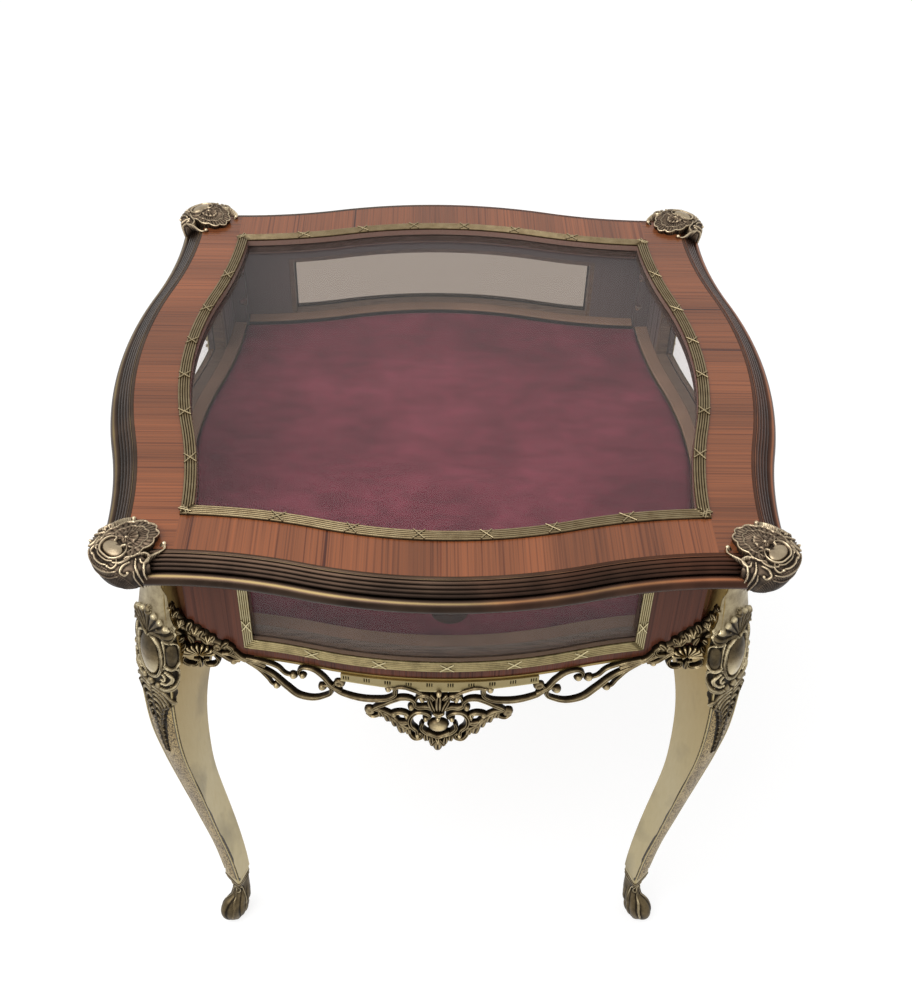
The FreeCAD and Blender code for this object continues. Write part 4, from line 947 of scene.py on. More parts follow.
def corner_mounts():
    """The lid's corner castings: a boss turned from its section, with the ornament raised along its normals.

    The ornament fades out at the lower rim. Inwards, what carries none is sunk under the veneer.
    """
    profile = curve(MOUNT_SECTION, 150)
    reach = np.concatenate([[0], np.cumsum(np.linalg.norm(np.diff(profile, axis=0), axis=1))])
    slope = np.gradient(profile, axis=0)
    slope /= np.linalg.norm(slope, axis=1, keepdims=True)
    angle = np.linspace(0, 2 * np.pi, 290, endpoint=False)[:, None]
    out = reach * np.cos(angle)
    across = reach * np.sin(angle)
    height, polished = mount_relief(out, across)
    shown = (out > 1) | (height > 0.3)
    height = height * np.clip((84 - reach) / 5, 0, 1)
    ground, sunk = -2.8, -15.0
    lift = np.where(shown, height + ground, sunk)
    radius = np.maximum(profile[:, 0] - lift * slope[:, 1], 0)
    up = lid_top + (profile[:, 1] + lift * slope[:, 0])
    points = points_of(MOUNT_CENTRE / ROOT_HALF + radius * np.cos(angle), radius * np.sin(angle), up)
    level = 0.36 - 0.2 * np.clip((reach - 44) / 12, 0, 1) * (out > 0)
    casting = Casting()
    casting.grid(points, np.maximum(shine(height, 6, 0.4, level), 0.66 * (polished > 0.35)), round_u=True)
    mount = (casting, brasses["mount_brass"], "corner_casting", "corner_mount")
    place_all(CORNERS, on_corner, "lid", 180, mount)


# ---------------------------------------------------------------- legs

# Share of the height from ankle to leg top, reach outside the post's face, half width of the outward face.
LEG_STATIONS = [
    (0.0, -17.5, 15.5),
    (0.1, -10.3, 17.5),
    (0.225, 2.8, 20.5),
    (0.35, 16.1, 26),
    (0.46, 27.5, 29.5),
    (0.555, 35.2, 30.2),
    (0.635, 36.5, 30),
    (0.715, 34.7, 30.5),
    (0.79, 29.7, 30),
    (0.87, 24.2, 25),
    (0.935, 17.7, 20),
    (1.0, 16.7, 19.5),
]
LEG_BULGE = 4.0
# The knee casting: share of the same height, thickness in the middle, reach each way round the leg.
KNEE_STATIONS = [
    (0.507, 1.8, 3),
    (0.56, 2.4, 8),
    (0.6, 2.8, 12),
    (0.64, 3.2, 16),
    (0.672, 3.6, 22),
    (0.69, 4.0, 29),
    (0.705, 4.6, 33),
    (0.73, 5.6, 37),
    (0.755, 6.4, 39.5),
    (0.79, 7.4, 40),
    (0.83, 7.4, 39),
    (0.86, 6.4, 36),
    (0.885, 5.4, 30),
    (0.93, 4.4, 24),
    (0.965, 3.4, 14),
]
# Heights above the floor: a leaf hangs under the lower one, and the boss is painted bright below the upper,
# with painted shade above it.
KNEE_LEAF_TOP, KNEE_BOSS_PAINTED_LIGHT = 556, 614
# Strokes of its ornament: points (side, up), widths along them, height and, where one is dished, its groove.
KNEE_STROKES = [
    ([(1, 628), (9, 635), (19, 636), (28, 632), (34, 637)], [2.4, 3.8, 4, 3.4, 2.2], 5.6, 0.4),
    ([(14, 643), (22, 643), (30, 642), (35, 646)], [2, 3.4, 3.2, 2], 4.8, 0.4),
    ([(5, 632), (14.5, 624), (18.5, 605), (17, 585), (9.5, 571), (0, 567)],
     [2.4, 3.6, 4, 4, 3.2], 6.4, 0.45),
    ([(21, 630), (23.5, 614), (23, 598), (20, 587)], [1.4, 2, 2, 1.6], 4.2),
    ([(25, 631), (34, 624), (37, 610), (35.5, 597), (29, 593), (22, 596)],
     [1.6, 2.2, 2.6, 2.6, 2.4], 5.8, 0.3),
    ([(19, 590), (27, 594), (35, 588), (37, 577), (32, 566), (23, 558), (14, 556)],
     [2.2, 3.6, 4, 4, 3.4], 6.0, 0.4),
    ([(22, 586), (28, 583), (29, 575), (24, 567), (17, 565)], [1.8, 2.6, 3, 2.6, 2], 5.2, 0.3),
    ([(18, 580), (22, 577), (21, 571), (16, 570)], [1.6, 2.4, 2.4, 1.8], 5.0, 0.3),
    ([(0, 552), (0, 520), (0, 470), (0, 428)], [3.4, 4, 3.2, 1.8], 4.4, 0.3),
    ([(2, 550), (12, 551), (24, 548), (31, 540), (28, 532), (22, 535)],
     [2.4, 4, 4.4, 4, 3, 2.2], 5.2, 0.3),
    ([(1, 544), (10, 545), (20, 541), (25, 533), (21, 526)], [2.2, 3.6, 4, 3.4, 2.2], 5.0, 0.3),
    ([(1, 537), (9, 538), (17, 533), (19, 525), (14, 519)], [2.2, 3.4, 3.8, 3.2, 2.2], 4.8, 0.3),
    ([(1, 529), (8, 529), (14, 523), (15, 514), (10, 509)], [2.2, 3.4, 3.8, 3.2, 2.2], 4.6, 0.3),
    ([(1, 519), (7, 518), (12, 511), (12, 502), (8, 498)], [2, 3.2, 3.4, 3, 2], 4.4, 0.3),
    ([(0.5, 508), (6, 506), (10, 499), (9, 490)], [2, 3.2, 3.2, 2.2], 4.4, 0.3),
]
# Its bosses: place (side, up), half axes, height.
KNEE_BOSSES = [
    ((0, 663), 4.2, 4.2, 5.2),
    ((9, 657), 3.0, 3.0, 4.2),
    ((29.5, 611), 6.4, 16, 3.8, 0.4),
    ((0, 557.5), 4.8, 4.8, 6.4),
    ((12, 558), 4.2, 4.2, 5.8),
]


def leg_face(share):
    """The outward face's place and half width at a share of the leg's height."""
    return post_face + stations(LEG_STATIONS, share, 1)[:, None], stations(LEG_STATIONS, share, 2)[:, None]


def arc_across(half, rise, t):
    """Points of an arc of so much rise over a chord: t from -1 to 1 gives height, place across and angle."""
    radius = (half**2 + rise**2) / (2 * rise)
    angle = np.arcsin(np.clip(half / radius, -1, 1)) * t
    return radius * np.cos(angle) - radius + rise, radius * np.sin(angle), angle


def leg_skin(half, along):
    """A leg's outline at one height, from the middle of its outward face round to its side.

    `along` is measured on it. It is an arc, then a small round corner, then a straight side. Returns the
    place and the direction in which the surface looks, each as (out, across).
    """
    corner = 3.0
    radius = (half**2 + LEG_BULGE**2) / (2 * LEG_BULGE)
    end = np.arcsin(half / radius) * (1 - 0.9 * corner / half)
    arc = radius * end
    run = np.abs(along)
    on_arc = run < arc
    angle = np.where(on_arc, run / radius, np.minimum(end + (run - arc) / corner, np.pi / 2))
    straight = np.maximum(run - arc - corner * (np.pi / 2 - end), 0)
    cos, sin = np.cos(angle), np.sin(angle)
    out = np.where(on_arc, radius * cos, (radius - corner) * np.cos(end) + corner * cos - straight)
    across = np.where(on_arc, radius * sin, (radius - corner) * np.sin(end) + corner * sin)
    sign = np.sign(along)
    return out - radius + LEG_BULGE, sign * across, cos, sign * sin


def leg_strips():
    """The matted strip down each leg's outward face, between two raised lines with a groove beside each."""
    share = np.linspace(0.0, 0.74, 200)[:, None]
    t = np.linspace(-1, 1, 61)[None, :]
    face, half = leg_face(share[:, 0])
    half = half + 0.2
    rise, across, angle = arc_across(half, LEG_BULGE, t)
    inset = half - np.abs(t) * half
    line = np.exp(-(((inset - 1.9) / 0.9) ** 2))
    groove = np.exp(-(((inset - 4.2) / 0.9) ** 2)) + np.exp(-((inset / 0.6) ** 2))
    lift = 0.6 + 1.4 * line
    up = leg_foot + share * (leg_top - leg_foot)
    front = points_of(face + rise + lift * np.cos(angle), across + lift * np.sin(angle), up)
    rear = front[:, [-1, 0]]
    rear[..., 0] -= 2.5
    rear[..., 1] *= 0.93
    casting = Casting()
    casting.bar(*closed(front, rear, np.clip(0.4 + 0.55 * line - 0.4 * groove, 0, 1)))
    place_all(CORNERS, on_corner, "case", 60, (casting, stippled_brass, "leg_strip", None))


def knee_relief(across, up):
    """Height of the knee's ornament over its shield, and how polished it is, alike on both sides.

    From the top: a bead, a shell, leaf curls, a long smooth boss in a scrolled frame, beads between two
    scrolls, and a leaf that hangs down the leg, its lobes narrower towards its tip.
    """
    side = np.abs(across)
    boss = bump(side, up, (0, 599), 14.5, 30, 1.0, 0.45)
    layers = [7.4 * boss, fan(side, up, (0, 630), np.pi / 2, 2.9, 32, 9, 4.6, 0.12)]
    layers += [stroke(side, up, *row) for row in KNEE_STROKES]
    layers += [bump(side, up, *row) for row in KNEE_BOSSES]
    for step in range(7):
        low = 496 - 9.5 * step
        wide = 8.5 - 0.9 * step
        points = [(0.5, low), (0.6 * wide, low - 4), (wide, low - 10)]
        layers.append(stroke(side, up, points, [1.8, 3.6, 2.4], 4.2 - 0.2 * step, 0.3))
    return np.max(layers, axis=0), boss


def knee_castings():
    """The castings over the knees: they follow the leg's own outline round on to its sides."""
    lowest, highest = KNEE_STATIONS[0][0], KNEE_STATIONS[-1][0]
    share = np.linspace(lowest, highest, 330)[:, None]
    t = np.linspace(-1, 1, 121)[None, :]
    up = leg_foot + share * (leg_top - leg_foot)
    on_leaf = up < KNEE_LEAF_TOP
    places, middles, reaches = np.array(KNEE_STATIONS).T
    reach = np.interp(share[:, 0], places, reaches)[:, None]
    reach = reach * (1 + 0.08 * np.abs(np.sin(up / 3.0)) * on_leaf)
    face, leg_half = leg_face(share[:, 0])
    along = t * reach
    out, across, look_out, look_across = leg_skin(leg_half, along)
    ornament, polished = knee_relief(along * np.minimum(1, 38 / reach), np.broadcast_to(up, along.shape))
    middle = np.interp(share[:, 0], places, middles)[:, None]
    thick = 1.4 + (middle - 1.4) * np.sqrt(np.clip(1 - (along / leg_half) ** 2, 0, 1))
    fade = np.clip((1 - np.abs(t)) / 0.05, 0, 1) * np.clip((share - lowest) / 0.02, 0, 1)
    fade = fade * np.clip((highest - share) / 0.008, 0, 1)
    lift = (np.maximum(thick - 5.2, 0.9) + 0.85 * ornament) * fade - 1.5 * (1 - fade)
    front = points_of(face + out + lift * look_out, across + lift * look_across, up)
    rear = points_of(face + out - 3 * look_out, across - 3 * look_across, up)[:, [-1, 0]]
    # Painted light on the smooth boss: painted shade towards its top and a painted highlight lower down.
    glow = 0.24 + 0.56 * np.clip((KNEE_BOSS_PAINTED_LIGHT - up) / 36, 0, 1)
    relief = np.where(polished > 0.25, glow, shine(ornament, 6, 0.36, 0.2 - 0.12 * on_leaf))
    plain = (ornament < 0.05) & (up > 634) & (share > 0.85)
    casting = Casting()
    casting.bar(*closed(front, rear, np.where(plain, 0.6, relief)))
    knee = (casting, brasses["cast_brass"], "knee_casting", "knee_mount")
    place_all(CORNERS, on_corner, "case", 180, knee)


# ---------------------------------------------------------------- sabots

# Share of the height up to the ankle, shift, half length and half width of the sabot's neck.
NECK_STATIONS = [
    (0.0, 9, 4, 4),
    (0.2, 9, 11, 8),
    (0.3, 8, 15, 12),
    (0.46, 4, 12.5, 12),
    (0.64, 0.5, 10.8, 11),
    (0.84, 0.0, 12, 13),
    (1.0, 0.0, 13, 14),
]
TOE_SHIFT, TOE_CENTRE, TOE_LONG, TOE_WIDE, TOE_TALL = 17.5, 20.0, 21.5, 14.5, 24.0
# From the ankle's outward face in to its middle line.
ANKLE_DEPTH = 12.5
# Heights above the floor: the collar's two rings, the end of the strokes and the top of the shoe.
COLLAR_RING, COLLAR_LINE, STROKES_END, SHOE_TOP = 86, 80, 81, 89
# Strokes of its ornament: points (side, up), widths along them, height, groove.
SHOE_STROKES = [
    ([(3, 70), (10, 66), (12, 57), (6, 54), (4, 60)], [2, 3, 3, 2.4, 2], 2.4, 0.3),
    ([(0, 72), (4, 50), (8, 30), (7, 14)], [2, 2.6, 2.6, 2], 2.2, 0.3),
    ([(14, 74), (20, 56), (24, 34), (22, 14)], [2, 2.6, 2.6, 2], 2.2, 0.3),
]


def ray_to_ellipse(cos, sin, shift, long, wide):
    """Distance from a point inside an ellipse, `shift` short of its middle, to its edge along a direction."""
    a = (cos / long) ** 2 + (sin / wide) ** 2
    b = -2 * cos * shift / long**2
    c = (shift / long) ** 2 - 1
    root = b**2 - 4 * a * c
    return np.where(root > 0, (-b + np.sqrt(np.maximum(root, 0))) / (2 * a), 0)


def ankle_reach(cos, sin):
    """Distance from the leg's middle line to its outline at the ankle, which narrows inwards."""
    power = 8
    inner = np.maximum(-cos, 0) / 12.3
    flank = np.maximum(np.abs(sin) - 0.42 * cos, 0) / 10.1
    outer = np.maximum(cos, 0) / 15.3
    return (inner**power + flank**power + outer**power) ** (-1 / power)


def sabots():
    """The cast shoes: neck and toe as one surface round an upright line, ribbed over the toe, with a collar.

    Above the collar the leg's own plain brass goes on up to the ankle.
    """
    middle = post_face + LEG_STATIONS[0][1] - ANKLE_DEPTH
    share = np.linspace(0, 1, 150)[:, None]
    up = share * leg_foot
    angle = np.linspace(-np.pi, np.pi, 150, endpoint=False)[None, :]
    cos, sin = np.cos(angle), np.sin(angle)
    centre = 12 * (1 - share) ** 1.5
    shift, long, wide = (stations(NECK_STATIONS, share[:, 0], column)[:, None] for column in (1, 2, 3))
    neck = ray_to_ellipse(cos, sin, shift - centre, long, wide)
    flat = np.sqrt(np.clip(1 - ((up - TOE_CENTRE) / TOE_TALL) ** 2, 0.001, 1))
    toe = ray_to_ellipse(cos, sin, TOE_SHIFT - centre, TOE_LONG * flat, TOE_WIDE * flat)
    toe = np.where(np.abs(up - TOE_CENTRE) < TOE_TALL, toe, 0)
    like_leg = np.clip((share - 0.6) / 0.3, 0, 1)
    like_leg = like_leg**2 * (3 - 2 * like_leg)
    neck = neck * (1 - like_leg) + ankle_reach(cos, sin) * like_leg
    radius = blurred(np.maximum(np.maximum(neck, toe), 2), 5)
    radius[0], radius[-1] = radius[1], radius[-2]
    veins = np.abs(np.cos(4.5 * angle + 0.9 * np.sin(share * 5))) ** 0.7
    veined = np.clip((up + 2) / 8, 0, 1) * np.clip((70 - up) / 22, 0, 1)
    collar = np.exp(-(((up - COLLAR_RING) / 2.0) ** 2)) + 0.7 * np.exp(-(((up - COLLAR_LINE) / 1.4) ** 2))
    strokes = [stroke(np.abs(angle * 15), up, *row) for row in SHOE_STROKES]
    height = np.maximum(1.5 * veins * veined, np.max(strokes, axis=0)) * (up < STROKES_END) + 1.5 * collar
    cast = up < SHOE_TOP
    radius = radius + np.where(cast, height - 0.8, 0)
    points = points_of(middle + centre + radius * cos, radius * sin, up)
    relief = shine(height, 5, 0.8, 0.3)
    row = int(np.argmin(cast[:, 0]))
    shoe, ankle = Casting(), Casting()
    shoe.bar(points[:row], relief[:row])
    ankle.bar(points[row - 1 :], relief[row - 1 :])
    cast_shoe = (shoe, brasses["cast_brass"], "sabot_casting", "sabot")
    place_all(CORNERS, on_corner, "case", 180, cast_shoe, (ankle, leg_brass, "ankle", None))


# ---------------------------------------------------------------- aprons

# How far the cartouche and the plate sit left of the middle, and the depth of the castings' flat back.
APRON_SHIFT = 5.5
APRON_BACK = -9.3
# The left half of an apron, places as (x, drop under the case). Scrolls: points, widths along them, rise.
APRON_SCROLLS = [
    ([(-235, -17), (-229, -13), (-220, -2), (-208, 2), (-195, 8)], [2.5, 5.5, 7, 6, 5], 7.2),
    ([(-236, -8), (-226, -3), (-216, 3)], [4, 6, 5], 6.6),
    ([(-215, -2), (-198, 1), (-182, 7), (-173, 17), (-166, 18)], [5, 5, 4.6, 4, 3.4], 6.4),
    ([(-220, -2), (-206, 9), (-190, 19), (-174, 37), (-161, 49), (-147, 50), (-133, 43), (-124, 33),
     (-127, 23), (-135, 25)], [5, 6, 6, 6.6, 7.4, 7.4, 6.6, 5.6, 4.8, 4], 7.4),
    ([(-215, 3), (-203, 14), (-194, 28), (-188, 38), (-182, 38)], [5, 5, 4.4, 4, 3], 6.2),
    ([(-157, 16), (-159, 9), (-153, 1), (-143, 1), (-133, 9), (-124, 22), (-113, 29)],
     [3.4, 4.6, 5.4, 5.6, 6, 6, 5], 6.8),
    ([(-118, 16), (-122, 23), (-116, 30), (-105, 34), (-92, 36), (-76, 35), (-60, 30), (-53, 22),
     (-55, 13), (-62, 14)], [3.4, 5, 6, 6.4, 6.8, 6.8, 6.2, 5.4, 4.4, 3.6], 7.2),
    ([(-55, 22), (-54, 13), (-46, 10), (-36, 13), (-25, 19), (-19, 28), (-24, 30)],
     [3.6, 4.4, 5, 5.4, 5.4, 4.8, 3.6], 6.6),
    ([(-81, 54), (-74, 47), (-66, 41), (-56, 33), (-46, 28), (-37, 29), (-32, 36), (-35, 43)],
     [4, 6, 6.5, 7, 7, 6.4, 5.6, 4], 7.4),
    ([(-31, 31), (-28, 24), (-21, 21), (-15, 25), (-13, 31)], [3.4, 5, 5.6, 5, 3.6], 7.0),
    ([(-35, 38), (-28, 43), (-19, 42), (-12, 46)], [5, 8, 8, 6], 6.4),
    ([(-78, 52), (-70, 53), (-62, 57), (-55, 64), (-50, 72), (-43, 79), (-36, 81)],
     [5, 7.6, 8.4, 8.6, 8.6, 8, 6], 6.6),
    ([(-60, 58), (-53, 54), (-46, 53), (-40, 56), (-38, 63), (-40, 70)], [4, 6, 6.4, 6, 5.4, 5], 7.2),
    ([(-51, 69), (-45, 71), (-38, 69)], [6, 8, 6], 6.8),
    ([(-86, 60), (-80, 64), (-73, 61), (-69, 55)], [3, 5, 5.4, 4.4], 6.6),
    ([(-21, 62), (-15, 57), (-21, 50), (-30, 50), (-37, 60), (-36, 74), (-30, 82), (-30, 90)],
     [3.4, 4.6, 6, 6.4, 6.8, 6.8, 6, 4.6], 8.8),
    ([(-38, 80), (-37, 90), (-31, 97), (-24, 94), (-25, 88), (-30, 89)],
     [4.6, 6, 6.4, 5.8, 4.6, 3.6], 7.8),
    ([(-23, 68), (-25, 76), (-19, 85), (-8, 90)], [4.4, 5.8, 6, 5], 8.4),
    ([(-281, -2), (-284, 6), (-278, 13), (-269, 12), (-267, 5), (-272, 4)],
     [3, 4.6, 5.2, 5, 4.2, 3], 7.6),
    ([(-249, -3), (-245, 5), (-250, 12), (-259, 12), (-260, 5), (-255, 4)],
     [3, 4.6, 5.2, 5, 4.2, 3], 7.6),
    ([(-250, -12), (-240, -4), (-232, 3), (-222, 3)], [5, 6.4, 6, 5], 7.2),
    ([(-240, -8), (-231, -10), (-228, -16), (-233, -21), (-238, -17)], [4, 5.4, 5.4, 4.4, 3.4], 8.2),
]
# Long leaves up the end bracket: the same, and how many lobes each has.
APRON_PLUMES = [
    ([(-287, -84), (-285, -68), (-280, -52), (-270, -40), (-256, -27), (-242, -16), (-229, -9)],
     [5, 8, 16, 24, 23, 16, 9], 4.4, 9),
    ([(-285, -50), (-286, -34), (-285, -16), (-283, -2)], [10, 15, 15, 10], 4.0, 5),
]
# Balls: x, drop, radius, rise.
APRON_BALLS = [
    (-165, 17, 4.8, 8.2),
    (-134, 27, 5, 8.4),
    (-185, 39, 4.4, 7.6),
    (-155, 15, 4.2, 7.4),
    (-61, 15, 4.2, 7.8),
    (-24, 30, 3.6, 7.2),
    (-36, 43, 4.4, 8.2),
    (-25, 27, 3.6, 7.8),
    (-55, 57, 4.0, 8.0),
    (-20, 61, 3.8, 9.2),
    (-29, 91, 3.4, 8.8),
    (-229, 5, 4.6, 8.2),
]
# Dished balls: x, drop, radius, rise, how hollow.
DISHES = [(-115, 17, 6.4, 7.0, 0.75), (-82, 55, 6.6, 8.4, 0.4), (-245, -15, 5.6, 7.4, 0.6)]
# Flowers: x, drop, radius, rise, petals.
FLOWERS = [
    (-41, 57, 4.4, 8.6, 5),
    (-266, -40, 8.0, 8.4, 6),
    (-253, -28, 6.6, 8.4, 6),
    (-280, -53, 6.4, 8.4, 6),
    (-285, -67, 5.0, 8.4, 6),
    (-287, -79, 4.2, 8.4, 6),
]
# Leaves: x and drop of base and tip, width. First those that hang by the cartouche, then the bracket's edge.
HANGING_LEAVES = [
    (-72, 53, -69, 63, 9.5),
    (-65, 57, -61, 70, 11.5),
    (-57, 64, -53, 78, 11.5),
    (-50, 73, -46, 89, 12),
    (-42, 79, -39, 90, 9.5),
]
EDGE_LEAVES = [
    (-273, -40, -268, -55, 9.5),
    (-262, -30, -257, -42, 9),
    (-251, -22, -246, -34, 8.5),
    (-240, -14, -232, -25, 8),
    (-283, -46, -276, -58, 8.5),
    (-280, -36, -290, -46, 8.5),
    (-278, -30, -289, -26, 8.5),
    (-278, -20, -288, -10, 8),
    (-274, -34, -270, -22, 8),
    (-262, -33, -255, -22, 8),
    (-287, -62, -290, -76, 7),
    (-283, -60, -280, -72, 6),
]
SMALL_LEAVES = [(-20, 88, -19, 101, 8), (-14, 92, -13, 106, 8)]


def below(points):
    """Turns (x, drop under the case) into (x, height)."""
    return [(x, case_bottom - drop) for x, drop in points]


def add_leaves(casting, rows, bend, rise):
    """Leaves, each given by x and drop of its base and its tip, and its width."""
    for x, drop, tip_x, tip_drop, width in rows:
        base, tip = below([(x, drop), (tip_x, tip_drop)])
        leaf(casting, base, tip, width, bend, rise, APRON_BACK)


def apron_half():
    """The left half of an apron's pierced ornament, behind the line of its plate."""
    half = Casting()
    for points, widths, rise in APRON_SCROLLS:
        strip(half, below(points), widths, rise, APRON_BACK, 2)
    for points, widths, rise, lobes in APRON_PLUMES:
        strip(half, below(points), widths, rise, APRON_BACK, 2, lobes=lobes)
    for x, drop, radius, rise in APRON_BALLS:
        knob(half, x, case_bottom - drop, radius, rise, APRON_BACK)
    for x, drop, radius, rise, hollow in DISHES:
        knob(half, x, case_bottom - drop, radius, rise, APRON_BACK, hollow=hollow)
    for x, drop, radius, rise, petals in FLOWERS:
        knob(half, x, case_bottom - drop, radius, rise, APRON_BACK, petals)
    add_leaves(half, HANGING_LEAVES, 1.2, 7.6)
    add_leaves(half, SMALL_LEAVES, 0, 7.6)
    add_leaves(half, [(-266, 4, -266, 18, 7)], 0, 6.8)
    add_leaves(half, EDGE_LEAVES, 1.4, 7.4)
    shell(half, -265.5, case_bottom, 19.5, np.pi / 2 + 0.05, 2.9, 9, 8.4, APRON_BACK)
    return half


def apron_middle():
    """The cartouche under the middle of a side: vase leaves, smooth oval, pendant."""
    casting = Casting()
    x = -APRON_SHIFT - 0.5

    def ball(shift, drop, radius, rise, **form):
        """A ball or flower so far right of the cartouche's middle."""
        knob(casting, x + shift, case_bottom - drop, radius, rise, APRON_BACK, **form)

    ball(0, 73, 12.5, 10.5, squash=0.82)
    ball(-0.5, 59, 3.6, 10.5)
    vase = [(x, 50, x, 20, 10), (x - 4, 50, x - 11, 27, 8), (x + 4, 50, x + 11, 27, 8)]
    add_leaves(casting, vase, 0.5, 8.6)
    strip(casting, below([(x - 6, 50), (x, 53), (x + 6, 50)]), [4, 6, 4], 9.4, APRON_BACK, 2)
    strip(casting, below([(x - 13, 84), (x, 91), (x + 13, 84)]), [5, 7, 5], 8.6, APRON_BACK, 2)
    add_leaves(casting, [(x, 100, x, 118, 11)], 0, 7.4)
    ball(0, 98, 4.6, 9.4, petals=5)
    for side in (-1, 1):
        add_leaves(casting, [(x + 2 * side, 100, x + 8 * side, 110, 7)], 0, 7.0)
        add_leaves(casting, [(x + 3 * side, 28, x + 9 * side, 19, 6)], 0, 9.0)
    ball(0, 17, 4.2, 10.0)
    return casting


def apron_plate():
    """The pierced plate under the case's middle: a flat band that sags a little, cut in threes.

    The cuts are sunk into the band and painted dark, as the shade seen through piercings. A flange behind it
    lies under the case.
    """
    casting = Casting()
    half, thick, rows = 108.0, 3.6, 19
    cut_spacing, cut_apart = 22.7, 2.6
    x = np.linspace(-half, half, 661)[:, None]
    sag = 10.5 + 4.5 * np.cos(np.pi * x / half / 2) ** 2
    drop = np.concatenate([np.linspace(0.0, 1, rows), [1.0, 0.0]])[None, :]
    front = np.concatenate([np.full(rows, thick), [0.0, 0.0]])[None, :]
    spots = np.arange(-4.5, 5) * cut_spacing
    near = np.abs(x - spots[None, :]).min(axis=1)[:, None]
    bars = (np.abs(near - cut_apart * np.round(near / cut_apart)) < 0.55) & (near < 3.4)
    tall = np.clip(1 - np.abs((drop * sag - 5.2) / 2.9) ** 6, 0, 1)
    shaded_cuts = bars * (tall > 0.2) * (front > 0)
    edge = np.exp(-(((sag * (1 - drop)) / 1.1) ** 2)) * (front > 0)
    out = APRON_BACK + front - 2.6 * shaded_cuts + 0.9 * edge
    up = case_bottom - np.maximum(drop * sag, 0.3)
    # Painted shade in the cuts: their relief is 0, the dark end of the brass.
    relief = np.clip(0.5 - 0.5 * shaded_cuts + 0.4 * edge, 0, 1) * (front > 0)
    casting.bar(points_of(x - APRON_SHIFT + 0.5, out, up), relief)
    flange = np.array([(APRON_BACK, -0.3), (APRON_BACK, -2.3), (-24.5, -2.3), (-24.5, -0.3)])
    casting.bar(points_of(x[::12] - APRON_SHIFT, flange[:, 0], case_bottom + flange[:, 1]), 0.4)
    return casting


def mirrored(points):
    """An apron's right half: its outer end keeps to the leg, its inner end follows the shifted cartouche."""
    share = np.clip((215 + points[..., 0]) / 90, 0, 1)
    return points_of(-points[..., 0] - 2 * APRON_SHIFT * share, points[..., 1], points[..., 2])


def aprons():
    """The pierced scrollwork under each side, and the plate behind its middle."""
    half, plate, casting = apron_half(), apron_plate(), Casting()
    casting.take(half, unchanged)
    casting.take(half, mirrored)
    casting.take(apron_middle(), unchanged)
    scrolls = (casting, brasses["apron_brass"], "apron_scrolls", "apron")
    place_all(SIDES, on_side, "case", 50, scrolls, (plate, brasses["plate_brass"], "apron_plate", None))


# ---------------------------------------------------------------- velvet pad and ledge

# Where the pad's outline lies from the sides' edge curve, and how far the ledge runs either way along a side.
PAD_OUT = -46.5
LEDGE_END = 271.0


def velvet_pad():
    """The pad: its outline is the sides' own curve further in, its top crowned and its rim rolled under.

    Its rings shrink from the outline to the middle: the top's first, then those of the rim and underside.
    """
    foot, crown = pad_box[0][2], pad_box[1][2]
    thick = crown - foot
    t = np.linspace(-1, 1, 61)[:-1]
    side = on_side(points_of(t * mitre(np.array([PAD_OUT]))[0], PAD_OUT, 0.0))
    ring = np.concatenate([quarter_turn(side, turn) for turn in range(4)])[:, :2]
    flat = np.linspace(0, 0.93, 40)
    top = np.concatenate([flat, [0.95, 0.97, 0.985, 0.996]])
    rim = np.clip((1 - top) / 0.05, 0, 1)
    level = thick * (0.45 + 0.55 * np.sqrt(1 - (1 - rim) ** 2))
    under = np.array([(1.0, 0.5 * thick), (1.0, 0.25 * thick), (0.99, 1.5), (0.97, 0), (0.5, 0), (0, 0)])
    shares = np.concatenate([top, under[:, 0]])
    x, y = ring[:, 0, None] * shares, ring[:, 1, None] * shares
    mottle = 0.6 * (mottling(x, y, 190) - 0.5) + 0.25 * (mottling(x, y, 60, 1.0) - 0.5)
    index = np.arange(len(shares))
    height = foot + np.concatenate([level, under[:, 1]])[None, :] + np.where(index < len(flat), mottle, 0)
    height = height - 0.5 * (index < len(flat) + 2)
    casting = Casting()
    casting.grid(points_of(x, y, height), 0.5, round_u=True)
    pad = place(casting, "velvet_covered_pad", "velvet_pad", "case", velvet_cloth, "velvet", None, 0, 180)


def sill_ledge():
    """The cloth-covered ledge from the windows' sills in to the velvet, its inner edge rolled."""
    top = cad("sill_lining")[1][2]
    outer = -cad("sill_lining")[0][1] - side_half
    section = [(0.0, -1.9), (0.0, -0.2), (-1.5, 0.05), (-6, 0.1), (-12, 0.0)]
    section += [(-15.4, -0.2), (-16.6, -0.8), (-17.0, -1.5), (-16.6, -1.9)]
    section = curve(section, 24)
    out, up = outer + section[:, 0], top + section[:, 1]
    along = np.linspace(-1, 1, 81)[:, None] * np.minimum(mitre(out), LEDGE_END)[None, :]
    slack = 0.12 * (mottling(along, out[None, :] * 2, 55.0) - 0.5) * (section[:, 1] > -1)
    side, casting = Casting(), Casting()
    side.bar(points_of(along, out, up + slack), 0.5)
    for turn in range(4):
        casting.take(side, lambda points: quarter_turn(on_side(points), turn))
    place(casting, "cloth_covered_ledge", "sill_lining", "case", lining_cloth, "lining", None, 0, 60)


# ---------------------------------------------------------------- CAD nodes that keep their shape


